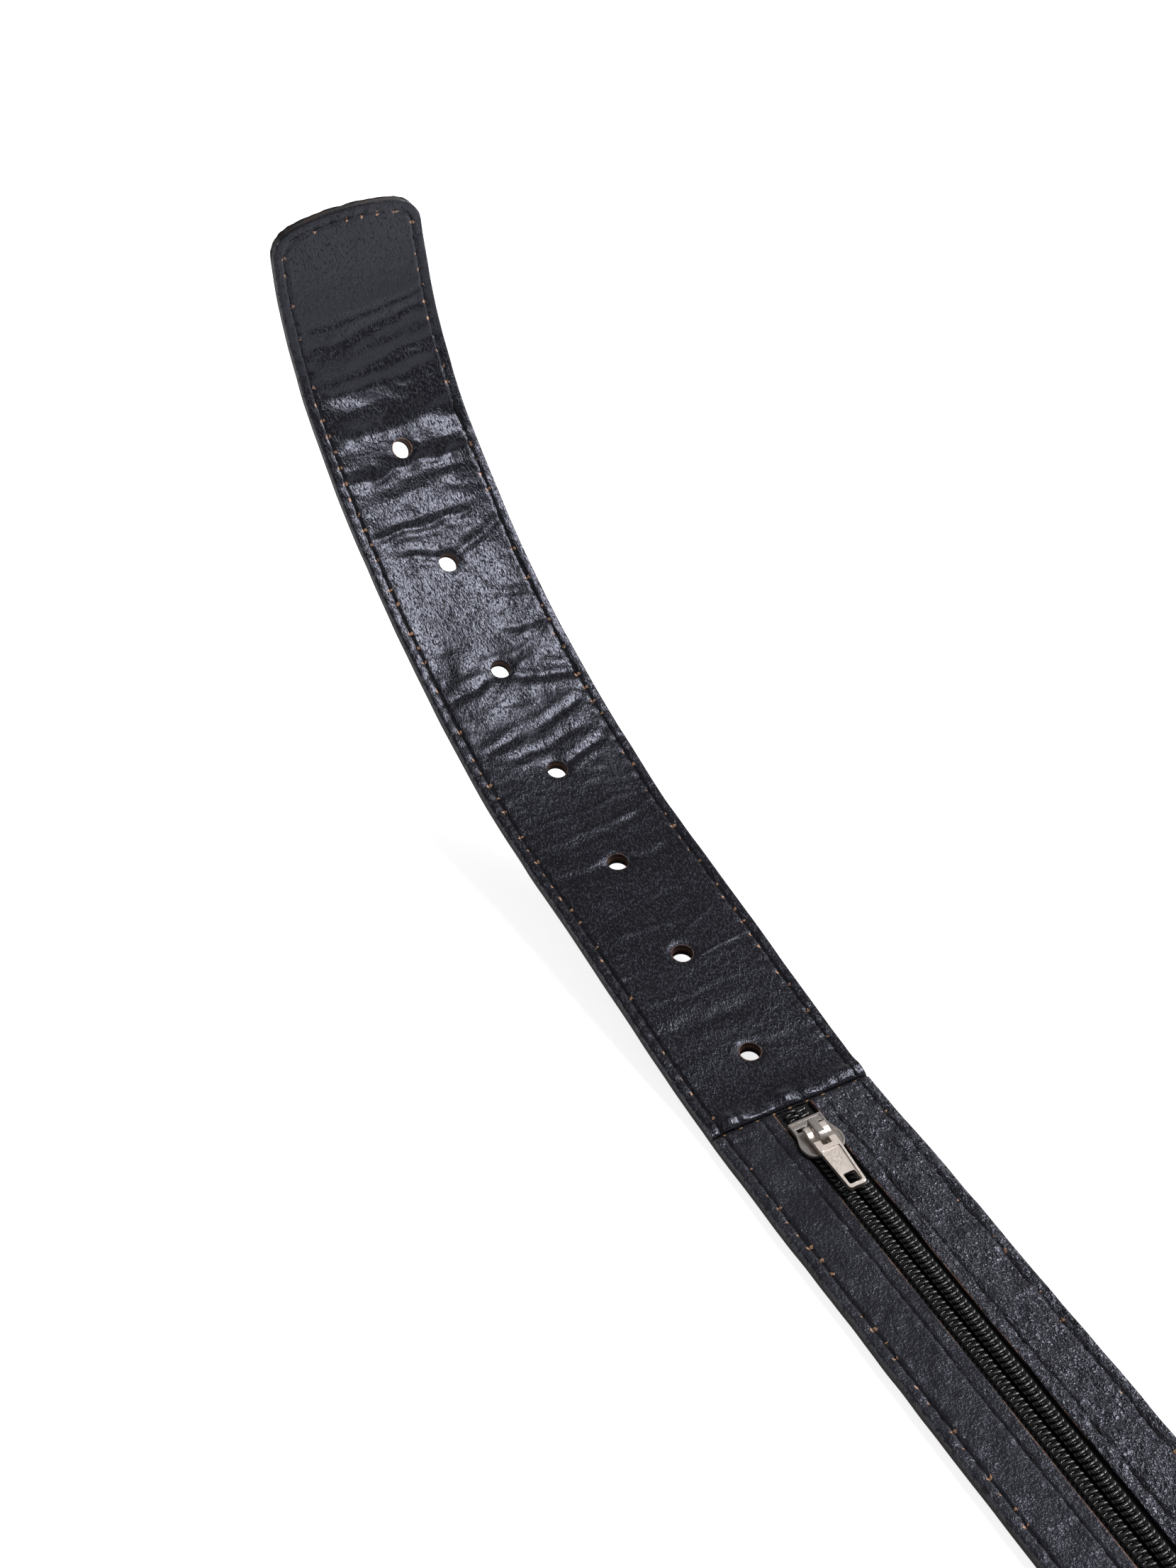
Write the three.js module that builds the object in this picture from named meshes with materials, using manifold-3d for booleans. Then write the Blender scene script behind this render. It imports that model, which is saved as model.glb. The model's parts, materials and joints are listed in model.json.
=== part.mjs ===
import * as THREE from 'three';
import { mergeVertices } from 'three/addons/utils/BufferGeometryUtils.js';
import Module from 'manifold-3d';

// A leather money belt, lying lining side up with its tongue curled off the table.
// Millimetres. +X runs along the belt from the tongue to the buckle, +Y across it, +Z up.
// The origin is on the belt's underside, on its centre line, halfway along the zip pocket.

const wasm = await Module();
wasm.setup();

// Leather and the small gaps between sewn and glued layers
const strapWidth = 38;
const outerThick = 1.2;
const fillerThick = 0.9;
const liningThick = 1.0;
const bondGap = 0.25;

// Tongue: a blunt tip and a row of holes
const holeCount = 7;
const holePitch = 30;
const holeDia = 4.7;
const tipToHole = 60;
const holeToSeam = 17;
const tipCrownRadius = 60;
const tipCornerRadius = 7;

// Curl of the tongue, from the tip to the table: the turns of its equal bends and of the short last one
const curlTurnsDeg = [47.7, 19.6, 17.9, -1.7];
const curlLastTurnDeg = 9.3;
const curlLastShare = 0.077;
const curlPastSeam = 3;
const curlStep = 7.5;
const foldStepDeg = 20;

// Zip pocket
const pocketLength = 613;
const pocketRim = 4.5;
const pocketOverlap = 9;
const slotWidth = 8.7;

// Zip: two tapes, each with its row of coil
const tapeWidth = 13;
const tapeThick = 0.25;
const sewGap = 0.1;
const coilHeight = 1.25;
const coilRowWidth = 3;
const coilOpenGap = 1;
const coilShutGap = 0.3;
const coilShutWidth = 2.65;

// Zip slider
const slideGap = 0.2;
const runGap = 0.12;
const sliderLength = 10.6;
const sliderParkGap = 5.2;
const sliderRearWidth = 7.9;
const sliderWaistWidth = 7.8;
const sliderLobeWidth = 9.8;
const sliderPlateThick = 0.85;
const sliderBaseThick = 0.6;
const sliderFlangeThick = 0.32;
const sliderFlangeLength = 8.5;
const sliderPostWidth = 0.7;
const sliderPostLength = 3.4;
const sliderPostSetback = 0.6;
const bridgeWidth = 1.7;
const bridgeThick = 0.75;
const bridgeRear = 2.6;
const bridgeLength = 6;

// Pull tab, hinged on a cross bar under the bridge
const pullLength = 18.2;
const pullHeadWidth = 5.2;
const pullEndWidth = 4.1;
const pullThick = 1.1;
const pullBarDia = 1.1;
const pullWindowLength = 6.1;
const pullRim = 0.6;
const pullPanelDepth = 0.3;
const pullHoleLength = 2.6;
const pullHoleSideRim = 0.8;
const pullEndRim = 1.2;
const pullTiltDeg = 4;
const pullPlay = 0.2;

// Buckle end of the strap
const seamToBar = 230;
const buckleLiningGap = 15;
const riseLength = 62;
const riseToBar = 110;

// Buckle frame, bar and prong
const barDia = 4;
const barGap = 0.3;
const frameSidePlay = 1.2;
const frameRail = 5.2;
const frameFrontRail = 6;
const frameReach = 24;
const frameThick = 4.2;
const frameHeel = 4.2;
const frameCorner = 5.5;
const frameInnerCorner = 2.2;
const frameBevel = 0.6;
const barSocketSkin = 1.3;
const prongWidth = 4.2;
const prongThick = 2.4;
const prongEyeWall = 1.3;
const prongOverhang = 1.5;
const prongSlotPlay = 0.8;
const floorGap = 0.25;

// Fold-back of the strap round the bar
const slotLength = 13;
const foldDropDeg = 8;
const foldBendRadius = 9;
const foldBumpRun = 8;
const foldEndRun = 13;

// Keeper loop
const keeperThick = 1.2;
const keeperWidth = 12;
const keeperRoom = 4.6;
const keeperSidePlay = 0.4;
const keeperToBar = 41;

// Binding screws that hold the fold-back
const bindingHeadDia = 9;
const bindingHeadThick = 0.9;
const bindingBarrelDia = 4.4;
const bindingShankDia = 2.4;
const bindingPlay = 0.3;
const bindingNearBar = 21;
const bindingFarBar = 61.5;
const screwSlotWidth = 1.1;
const screwSlotDepth = 0.4;

// Stitching
const threadDia = 0.55;
const threadHeight = 0.35;
const threadSink = 0.06;
const grooveGap = 0.25;
const edgeStitchInset = 2.5;
const zipStitchOffset = 7.4;
const edgeStitchEnd = 76;

// Cuts run this much past what they cut
const overrun = 1;
const roundSides = 24;
const smallSides = 16;

// Levels above the table where the belt lies flat
const half = strapWidth / 2;
const fillerLow = outerThick + bondGap;
const fillerHigh = fillerLow + fillerThick;
const liningLow = fillerHigh + bondGap;
const liningHigh = liningLow + liningThick;
const barRadius = barDia / 2;
const axisLevel = outerThick + barGap + barRadius;

// Places along the belt, measured from the tip
const seamAt = tipToHole + holePitch * (holeCount - 1) + holeToSeam;
const farSeamAt = seamAt + pocketLength;
const flatAt = seamAt + curlPastSeam;
const curlLastRun = curlLastShare * flatAt;
const curlBendRun = (flatAt - curlLastRun) / curlTurnsDeg.length;
const barAt = farSeamAt + seamToBar;
const riseAt = barAt - riseToBar - riseLength;
const buckleLiningEnd = barAt - buckleLiningGap;
const keeperRise = keeperThick + keeperRoom;
const seamGap = threadDia + 2 * grooveGap;

const rad = THREE.MathUtils.degToRad;

// Two equal and opposite arcs that climb by height over a level length
function sBend(height, length) {
  const turn = 2 * Math.atan(height / length);
  const run = length / (2 * Math.sin(turn)) * turn;
  return [{ run, turn }, { run, turn: -turn }];
}

// The line that the strap follows, at the height of the buckle bar's axis.
// A frame is a point on it with its heading; the lining side is along the frame's normal.
class BeltLine {
  constructor(segments) {
    let frame = { u: 0, x: 0, z: 0, heading: -segments.curlTurn };
    this.segments = segments.list.map((segment) => {
      const placed = { ...segment, start: frame };
      frame = this.along(placed, segment.run);
      return placed;
    });
    this.end = frame.u;
  }

  along(segment, run) {
    const { start, turn = 0, pivot = false } = segment;
    const heading = start.heading + turn * run / segment.run;
    let { x, z } = start;
    if (!pivot && turn === 0) {
      x += run * Math.cos(heading);
      z += run * Math.sin(heading);
    } else if (!pivot) {
      const radius = segment.run / turn;
      x += radius * (Math.sin(heading) - Math.sin(start.heading));
      z -= radius * (Math.cos(heading) - Math.cos(start.heading));
    }
    return { u: start.u + run, x, z, heading };
  }

  at(u) {
    const segment = this.segments.findLast((s) => s.start.u <= u);
    return this.along(segment, u - segment.start.u);
  }

  // Frames from one place to another: at both ends, along every bend and at the extra places
  frames(from, to, extra = []) {
    const places = [from, to, ...extra];
    for (const { start, run, turn = 0, pivot = false } of this.segments) {
      const steps = turn === 0 ? 1 : Math.ceil(pivot ? Math.abs(turn) / rad(foldStepDeg) : run / curlStep);
      for (let i = 0; i <= steps; i += 1) places.push(start.u + run * i / steps);
    }
    const sameShare = 0.001;
    const kept = places.filter((u) => u >= from && u <= to).sort((a, b) => a - b);
    return kept.filter((u, i) => i === 0 || u - kept[i - 1] > sameShare * curlStep).map((u) => this.at(u));
  }
}

const curlTurn = rad(curlTurnsDeg.reduce((sum, turn) => sum + turn, curlLastTurnDeg));
const foldRadius = barRadius + barGap;
const foldLevel = liningHigh + bondGap;
const foldDrop = axisLevel + foldRadius - foldLevel;
const foldDropTurn = rad(foldDropDeg);
const foldSlope = (foldDrop - foldBendRadius * (1 - Math.cos(foldDropTurn))) / Math.sin(foldDropTurn);
const foldBump = keeperThick + bondGap;
const foldFlat = keeperToBar - keeperWidth / 2 - bondGap - foldBumpRun
  - foldSlope * Math.cos(foldDropTurn) - foldBendRadius * Math.sin(foldDropTurn);

const belt = new BeltLine({
  curlTurn,
  list: [
    ...curlTurnsDeg.map((turn) => ({ run: curlBendRun, turn: rad(turn) })),
    { run: curlLastRun, turn: rad(curlLastTurnDeg) },
    { run: riseAt - flatAt },
    ...sBend(keeperRise, riseLength),
    { run: riseToBar },
    { run: foldRadius * (Math.PI + foldDropTurn), turn: Math.PI + foldDropTurn, pivot: true },
    { run: foldSlope },
    { run: foldBendRadius * foldDropTurn, turn: -foldDropTurn },
    { run: foldFlat },
    ...sBend(-foldBump, foldBumpRun),
    { run: keeperWidth + 2 * bondGap },
    ...sBend(foldBump, foldBumpRun),
    { run: foldEndRun },
  ],
});

// The line is set down so that the flat stretch rests on the table and the pocket is centred
const flatFrame = belt.at(flatAt);
const shiftX = -(pocketLength / 2 + seamAt - flatAt) - flatFrame.x;
const shiftZ = axisLevel - flatFrame.z;
const xOf = (u) => belt.at(u).x + shiftX;
const barPlace = belt.segments.find((s) => s.pivot).start;
const barX = barPlace.x + shiftX;
const barZ = barPlace.z + shiftZ;
const seamX = xOf(seamAt);
const farSeamX = xOf(farSeamAt);

// A point at v across the belt and at a level above the strap's underside
function pointAt(frame, v, level) {
  const n = level - axisLevel;
  return new THREE.Vector3(
    frame.x + shiftX - n * Math.sin(frame.heading),
    v,
    frame.z + shiftZ + n * Math.cos(frame.heading),
  );
}

// A band that follows the frames: section(u) gives its two edges and its two levels
function ribbon(frames, section) {
  const positions = [];
  for (const frame of frames) {
    const { left, right, low, high } = section(frame.u);
    for (const [v, level] of [[left, low], [right, low], [right, high], [left, high]]) {
      positions.push(...pointAt(frame, v, level).toArray());
    }
  }
  const index = [0, 2, 1, 0, 3, 2];
  for (let i = 0; i + 1 < frames.length; i += 1) {
    for (let side = 0; side < 4; side += 1) {
      const a = 4 * i + side;
      const b = 4 * i + (side + 1) % 4;
      index.push(a, b, b + 4, a, b + 4, a + 4);
    }
  }
  const last = 4 * (frames.length - 1);
  index.push(last, last + 1, last + 2, last, last + 2, last + 3);
  const geometry = new THREE.BufferGeometry();
  geometry.setAttribute('position', new THREE.Float32BufferAttribute(positions, 3));
  geometry.setIndex(index);
  return solid(geometry);
}

// A closed three.js geometry as a solid that can be joined and cut
function solid(geometry) {
  const bare = geometry.clone();
  bare.deleteAttribute('normal');
  bare.deleteAttribute('uv');
  const merged = mergeVertices(bare);
  return new wasm.Manifold(new wasm.Mesh({
    numProp: 3,
    vertProperties: new Float32Array(merged.attributes.position.array),
    triVerts: new Uint32Array(merged.index.array),
  }));
}

const join = (...solids) => solids.reduce((sum, next) => sum.add(next));
const cut = (body, ...tools) => tools.reduce((rest, tool) => rest.subtract(tool), body);

function block(x0, x1, y0, y1, z0, z1) {
  const geometry = new THREE.BoxGeometry(x1 - x0, y1 - y0, z1 - z0);
  geometry.translate((x0 + x1) / 2, (y0 + y1) / 2, (z0 + z1) / 2);
  return solid(geometry);
}

// An upright cylinder from z0 to z1
function post(x, y, radius, z0, z1, sides = roundSides) {
  const geometry = new THREE.CylinderGeometry(radius, radius, z1 - z0, sides);
  geometry.rotateX(Math.PI / 2);
  geometry.translate(x, y, (z0 + z1) / 2);
  return solid(geometry);
}

// A level cylinder across the belt, centred on the centre line
function crossRod(x, z, radius, length, sides = roundSides) {
  const geometry = new THREE.CylinderGeometry(radius, radius, length, sides);
  geometry.translate(x, 0, z);
  return solid(geometry);
}

function plate(shape, z0, z1, bevel = 0) {
  const geometry = new THREE.ExtrudeGeometry(shape, {
    depth: z1 - z0 - 2 * bevel,
    bevelEnabled: bevel > 0,
    bevelThickness: bevel,
    bevelSize: bevel,
    bevelOffset: -bevel,
    bevelSegments: 2,
    curveSegments: 6,
  });
  geometry.translate(0, 0, z0 + bevel);
  return solid(geometry);
}

// A profile drawn in X and Z, as wide as given across the belt
function sidePlate(shape, width) {
  const geometry = new THREE.ExtrudeGeometry(shape, {
    depth: width, bevelEnabled: false, curveSegments: smallSides,
  });
  geometry.rotateX(Math.PI / 2);
  geometry.translate(0, width / 2, 0);
  return solid(geometry);
}

// The tip's outline: a shallow crown, and two corner rounds that meet it and the sides smoothly
const cornerAcross = half - tipCornerRadius;
const cornerBack = tipCrownRadius - Math.sqrt((tipCrownRadius - tipCornerRadius) ** 2 - cornerAcross ** 2);

// Half width of the tongue at a distance from its tip, with the outline drawn in by an inset
function tongueHalf(u, inset = 0) {
  if (u >= cornerBack) return half - inset;
  const crown = tipCrownRadius - inset;
  const corner = tipCornerRadius - inset;
  const meet = tipCrownRadius
    - (tipCrownRadius - cornerBack) * crown / (tipCrownRadius - tipCornerRadius);
  return u < meet
    ? Math.sqrt(Math.max(crown ** 2 - (tipCrownRadius - u) ** 2, 0))
    : cornerAcross + Math.sqrt(Math.max(corner ** 2 - (cornerBack - u) ** 2, 0));
}

const tipShares = [0.01, 0.06, 0.14, 0.24, 0.38, 0.56, 0.78, 1];
const tipPlaces = (inset = 0) => tipShares.map((share) => inset + share * (cornerBack - inset));

// A band of leather from the tip, following the tip's outline
function tongueBand(to, low, high, inset = 0) {
  const places = tipPlaces(inset);
  return ribbon(belt.frames(places[0], to, places), (u) => {
    const reach = tongueHalf(u, inset);
    return { left: -reach, right: reach, low, high };
  });
}

function flatBand(from, to, left, right, low, high) {
  return ribbon(belt.frames(from, to), () => ({ left, right, low, high }));
}

// The punched holes, square to the curled strap
function holeTools() {
  return Array.from({ length: holeCount }, (_, i) => {
    const frame = belt.at(tipToHole + holePitch * i);
    const height = liningHigh + 2 * overrun;
    const geometry = new THREE.CylinderGeometry(holeDia / 2, holeDia / 2, height, smallSides);
    const up = pointAt(frame, 0, overrun).sub(pointAt(frame, 0, 0)).normalize();
    geometry.applyQuaternion(new THREE.Quaternion().setFromUnitVectors(new THREE.Vector3(0, 1, 0), up));
    const middle = pointAt(frame, 0, liningHigh / 2);
    geometry.translate(middle.x, middle.y, middle.z);
    return solid(geometry);
  });
}

// The edge stitching: one row up each side and round the tip, a thread or the groove it lies in
function edgeRow(low, high, play) {
  const to = barAt - edgeStitchEnd + play;
  const outline = edgeStitchInset - threadDia / 2 - play;
  const inner = edgeStitchInset + threadDia / 2 + play;
  return cut(
    tongueBand(to, low, high, outline),
    tongueBand(to + overrun, low - overrun, high + overrun, inner),
  );
}

function zipRow(side, low, high, play) {
  const reach = threadDia / 2 + play;
  const at = side * zipStitchOffset;
  const from = seamAt + seamGap / 2 + edgeStitchInset - play;
  const to = farSeamAt - seamGap / 2 - edgeStitchInset + play;
  return flatBand(from, to, at - reach, at + reach, low, high);
}

const threadTop = liningHigh - threadSink;
const threadBase = threadTop - threadHeight;
const topGroove = edgeRow(threadBase - grooveGap, liningHigh + overrun, grooveGap);
const faceThreadTop = threadSink + threadHeight;
const faceGroove = edgeRow(-overrun, faceThreadTop + grooveGap, grooveGap);

const bindingPlaces = [barX - bindingNearBar, barX - bindingFarBar];
const bindingHoles = () => bindingPlaces.map((x) => post(
  x, 0, bindingBarrelDia / 2 + bindingPlay, -overrun, barZ + axisLevel + keeperRise, smallSides,
));

// Outer leather: one length from the tip to the end of the fold-back
function outerStrap() {
  const frames = belt.frames(tipPlaces()[0], belt.end, tipPlaces());
  const leather = ribbon(frames, (u) => {
    const reach = u < barAt ? tongueHalf(u) : half;
    return { left: -reach, right: reach, low: 0, high: outerThick };
  });
  const slotHalf = prongWidth / 2 + prongSlotPlay;
  const foldReach = foldRadius + outerThick + overrun;
  const slot = block(
    barX - slotLength, barX + foldReach, -slotHalf, slotHalf, barZ - foldReach, barZ + foldReach,
  );
  return cut(leather, ...holeTools(), faceGroove, slot, ...bindingHoles());
}

// Filler between the leathers, with the pocket's window cut out of it
function filler() {
  const sheet = tongueBand(buckleLiningEnd, fillerLow, fillerHigh);
  const reach = half - pocketRim;
  const window = block(
    seamX - pocketOverlap, farSeamX + pocketOverlap, -reach, reach, fillerLow - overrun, fillerHigh + overrun,
  );
  return cut(sheet, ...holeTools(), window, ...bindingHoles());
}

const tongueLining = () => cut(
  tongueBand(seamAt - seamGap / 2, liningLow, liningHigh), ...holeTools(), topGroove,
);

function pocketFlap(side) {
  const edges = [side * slotWidth / 2, side * half].sort((a, b) => a - b);
  const leather = flatBand(seamAt + seamGap / 2, farSeamAt - seamGap / 2, ...edges, liningLow, liningHigh);
  return cut(leather, topGroove, zipRow(side, threadBase - grooveGap, liningHigh + overrun, grooveGap));
}

const buckleEndLining = () => cut(
  flatBand(farSeamAt + seamGap / 2, buckleLiningEnd, -half, half, liningLow, liningHigh),
  topGroove, ...bindingHoles(),
);

// Zip levels, from the slider's base plate up
const baseLow = outerThick + slideGap;
const baseHigh = baseLow + sliderBaseThick;
const tapeLow = baseHigh + runGap;
const tapeHigh = tapeLow + tapeThick;
const coilLow = tapeHigh + sewGap;
const coilHigh = coilLow + coilHeight;
const plateLow = coilHigh + runGap;
const plateHigh = plateLow + sliderPlateThick;
const sliderX = seamX + sliderParkGap;
const coilOuter = coilOpenGap / 2 + coilRowWidth;

// Both rows lie close together behind the parked slider, and part under it
const shutUntil = seamAt + sliderParkGap;
const openFrom = shutUntil + sliderLength - sliderPostLength - slideGap;

function zipBand(side, from, to, shut, open, low, high) {
  return ribbon(belt.frames(from, to, [shutUntil, openFrom]), (u) => {
    const share = THREE.MathUtils.clamp((u - shutUntil) / (openFrom - shutUntil), 0, 1);
    const edges = [0, 1].map((i) => side * THREE.MathUtils.lerp(shut[i], open[i], share));
    edges.sort((a, b) => a - b);
    return { left: edges[0], right: edges[1], low, high };
  });
}

const zipCoil = (side) => zipBand(
  side, seamAt + seamGap / 2, farSeamAt - seamGap / 2,
  [coilShutGap / 2, coilShutGap / 2 + coilShutWidth], [coilOpenGap / 2, coilOuter], coilLow, coilHigh,
);

const zipTape = (side) => zipBand(
  side, seamAt - pocketOverlap / 2, farSeamAt + pocketOverlap / 2,
  [coilShutGap / 2, tapeWidth], [coilOpenGap / 2, tapeWidth], tapeLow, tapeHigh,
);

// Bell-shaped plan of the slider's two plates, from the flat mouth past the waist to the two lobes
// and the notched nose. Places are shares of the slider's length, and reaches of its half widths.
function sliderPlan() {
  const [rear, waist, lobe] = [sliderRearWidth, sliderWaistWidth, sliderLobeWidth].map((w) => w / 2);
  const rearBendShare = 0.13;
  const waistShare = 0.26;
  const waistBendShare = 0.41;
  const lobeBendShare = 0.54;
  const lobeShare = 0.68;
  const noseBendShare = 0.85;
  const notchShare = 0.94;
  const cornerReachShare = 0.8;
  const noseReachShare = 0.5;
  const at = (share) => share * sliderLength;
  const corner = cornerReachShare * lobe;
  const nose = noseReachShare * lobe;
  const plan = new THREE.Shape();
  plan.moveTo(0, -rear);
  plan.quadraticCurveTo(at(rearBendShare), -waist, at(waistShare), -waist);
  plan.bezierCurveTo(at(waistBendShare), -waist, at(lobeBendShare), -lobe, at(lobeShare), -lobe);
  plan.bezierCurveTo(at(noseBendShare), -lobe, sliderLength, -corner, sliderLength, -nose);
  plan.quadraticCurveTo(at(notchShare), 0, sliderLength, nose);
  plan.bezierCurveTo(sliderLength, corner, at(noseBendShare), lobe, at(lobeShare), lobe);
  plan.bezierCurveTo(at(lobeBendShare), lobe, at(waistBendShare), waist, at(waistShare), waist);
  plan.quadraticCurveTo(at(rearBendShare), waist, 0, rear);
  plan.closePath();
  return plan;
}

const hingeX = bridgeRear + bridgeThick + pullPlay + pullBarDia / 2;
const hingeZ = plateHigh + pullPlay + pullThick / 2 + (sliderLength - hingeX) * Math.tan(rad(pullTiltDeg));
const bridgeHigh = hingeZ + pullBarDia / 2 + pullPlay + bridgeThick;

// Slider casting: two plates joined by the post between the rows, side flanges and the bridge
function sliderBody() {
  const reach = coilOuter + runGap;
  const flange = (side) => {
    const edges = [side * reach, side * (reach + sliderFlangeThick)].sort((a, b) => a - b);
    return block(0, sliderFlangeLength, ...edges, tapeHigh + slideGap, plateLow + sliderPlateThick / 2);
  };
  const postEnd = sliderLength - sliderPostSetback;
  const foot = plateHigh - sliderPlateThick / 2;
  const under = bridgeHigh - bridgeThick;
  const front = bridgeRear + bridgeLength;
  const bridge = new THREE.Shape();
  bridge.moveTo(bridgeRear, foot);
  bridge.lineTo(bridgeRear + bridgeThick, foot);
  bridge.lineTo(bridgeRear + bridgeThick, under);
  bridge.lineTo(front - 2 * bridgeThick, under);
  bridge.lineTo(front - bridgeThick, foot);
  bridge.lineTo(front, foot);
  bridge.lineTo(front - bridgeThick, bridgeHigh - bridgeThick / 2);
  bridge.lineTo(front - 2 * bridgeThick, bridgeHigh);
  bridge.lineTo(bridgeRear + bridgeThick / 2, bridgeHigh);
  bridge.lineTo(bridgeRear, bridgeHigh - bridgeThick / 2);
  bridge.closePath();
  return join(
    plate(sliderPlan(), plateLow, plateHigh),
    plate(sliderPlan(), baseLow, baseHigh),
    block(
      postEnd - sliderPostLength, postEnd, -sliderPostWidth / 2, sliderPostWidth / 2,
      baseLow + sliderBaseThick / 2, plateLow + sliderPlateThick / 2,
    ),
    flange(-1), flange(1),
    sidePlate(bridge, bridgeWidth),
  );
}

// Pull tab, drawn flat with its hinge at the origin and pointing along +X
function sliderPull() {
  const headHalf = pullHeadWidth / 2;
  const endHalf = pullEndWidth / 2;
  const rearEnd = -pullBarDia / 2;
  const end = rearEnd + pullLength;
  const outline = new THREE.Shape();
  const corner = pullRim;
  outline.moveTo(rearEnd, -headHalf);
  outline.lineTo(pullWindowLength, -headHalf);
  outline.lineTo(end - corner, -endHalf);
  outline.quadraticCurveTo(end, -endHalf, end, -endHalf + corner);
  outline.lineTo(end, endHalf - corner);
  outline.quadraticCurveTo(end, endHalf, end - corner, endHalf);
  outline.lineTo(pullWindowLength, headHalf);
  outline.lineTo(rearEnd, headHalf);
  outline.closePath();

  const holeEnd = end - pullEndRim;
  const holeStart = holeEnd - pullHoleLength;
  const holeHalf = endHalf - pullHoleSideRim;
  const windowHalf = bridgeWidth / 2 + pullPlay;
  const windowStart = pullBarDia / 2;
  const panel = new THREE.Shape();
  const panelStart = pullWindowLength + pullRim;
  panel.moveTo(panelStart, -headHalf + pullRim);
  panel.lineTo(holeEnd, -endHalf + pullRim);
  panel.lineTo(holeEnd, endHalf - pullRim);
  panel.lineTo(panelStart, headHalf - pullRim);
  panel.closePath();
  const low = -pullThick / 2;
  const high = pullThick / 2;
  return cut(
    plate(outline, low, high),
    plate(panel, high - pullPanelDepth, high + overrun),
    block(holeStart, holeEnd, -holeHalf, holeHalf, low - overrun, high + overrun),
    block(windowStart, pullWindowLength - pullRim, -windowHalf, windowHalf, low - overrun, high + overrun),
  );
}

// Buckle: a U-shaped frame drawn flat round the bar's axis, its open end towards the strap
const frameInner = half + frameSidePlay;
const frameHalf = frameInner + frameRail;
const frameEnd = frameReach + frameFrontRail;
const barLength = 2 * (frameHalf - barSocketSkin - barGap);

function buckleFrame() {
  const inner = frameInner;
  const outline = new THREE.Shape();
  outline.moveTo(-frameHeel, -frameHalf + frameInnerCorner);
  outline.quadraticCurveTo(-frameHeel, -frameHalf, -frameHeel + frameInnerCorner, -frameHalf);
  outline.lineTo(frameEnd - frameCorner, -frameHalf);
  outline.quadraticCurveTo(frameEnd, -frameHalf, frameEnd, -frameHalf + frameCorner);
  outline.lineTo(frameEnd, frameHalf - frameCorner);
  outline.quadraticCurveTo(frameEnd, frameHalf, frameEnd - frameCorner, frameHalf);
  outline.lineTo(-frameHeel + frameInnerCorner, frameHalf);
  outline.quadraticCurveTo(-frameHeel, frameHalf, -frameHeel, frameHalf - frameInnerCorner);
  outline.lineTo(-frameHeel, inner);
  outline.lineTo(frameReach - frameInnerCorner, inner);
  outline.quadraticCurveTo(frameReach, inner, frameReach, inner - frameInnerCorner);
  outline.lineTo(frameReach, -inner + frameInnerCorner);
  outline.quadraticCurveTo(frameReach, -inner, frameReach - frameInnerCorner, -inner);
  outline.lineTo(-frameHeel, -inner);
  outline.closePath();
  const casting = plate(outline, -frameThick / 2, frameThick / 2, frameBevel);
  return cut(casting, crossRod(0, 0, barRadius + barGap, barLength + 2 * barGap));
}

// Prong: an eye round the bar and a shank that lies on the frame's outer face
const prongEye = foldRadius + prongEyeWall;
const prongTop = -frameThick / 2 - barGap;
const prongEnd = frameEnd + prongOverhang;
const prongDepth = -prongTop + prongThick;

function buckleProng() {
  const shank = new THREE.Shape();
  const nose = prongThick / 2;
  shank.moveTo(0, -prongEye + prongThick);
  shank.lineTo(0, -prongEye);
  shank.lineTo(frameReach, prongTop - prongThick);
  shank.lineTo(prongEnd - nose, prongTop - prongThick);
  shank.quadraticCurveTo(prongEnd, prongTop - prongThick, prongEnd, prongTop - nose);
  shank.quadraticCurveTo(prongEnd, prongTop, prongEnd - nose, prongTop);
  shank.lineTo(frameReach - nose, prongTop);
  shank.closePath();
  const eye = cut(
    crossRod(0, 0, prongEye, prongWidth),
    crossRod(0, 0, foldRadius, prongWidth + 2 * overrun),
  );
  return join(eye, cut(sidePlate(shank, prongWidth), crossRod(0, 0, foldRadius, prongWidth + 2 * overrun)));
}

const buckleTilt = Math.asin((barZ - floorGap - prongDepth) / prongEnd);

// Keeper: a closed leather loop, its upper side held under the fold-back
function keeperLoop() {
  const inner = half + keeperSidePlay;
  const top = keeperRise + liningHigh + bondGap;
  const x = barX - keeperToBar;
  const outer = inner + keeperThick;
  return cut(
    block(x - keeperWidth / 2, x + keeperWidth / 2, -outer, outer, 0, top + keeperThick),
    block(x - keeperWidth, x + keeperWidth, -inner, inner, keeperThick, top),
  );
}

// Binding post and screw, head to head through the strap and its fold-back
const bindingTop = keeperRise + foldLevel + outerThick;

function bindingPost(x) {
  const headTop = keeperRise - bondGap;
  const barrel = bindingBarrelDia / 2;
  return cut(
    join(
      post(x, 0, bindingHeadDia / 2, headTop - bindingHeadThick, headTop),
      post(x, 0, barrel, headTop - bindingHeadThick / 2, bindingTop, smallSides),
    ),
    post(x, 0, bindingShankDia / 2 + bindingPlay, keeperRise + bondGap, bindingTop + overrun, smallSides),
  );
}

function bindingScrew(x) {
  const headLow = bindingTop + bondGap;
  const headHigh = headLow + bindingHeadThick;
  const slotReach = screwSlotWidth / 2;
  return cut(
    join(
      post(x, 0, bindingHeadDia / 2, headLow, headHigh),
      post(x, 0, bindingShankDia / 2, keeperRise + 2 * bondGap, headHigh - bindingHeadThick / 2, smallSides),
    ),
    block(
      x - slotReach, x + slotReach, -bindingHeadDia, bindingHeadDia,
      headHigh - screwSlotDepth, headHigh + overrun,
    ),
  );
}

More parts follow.
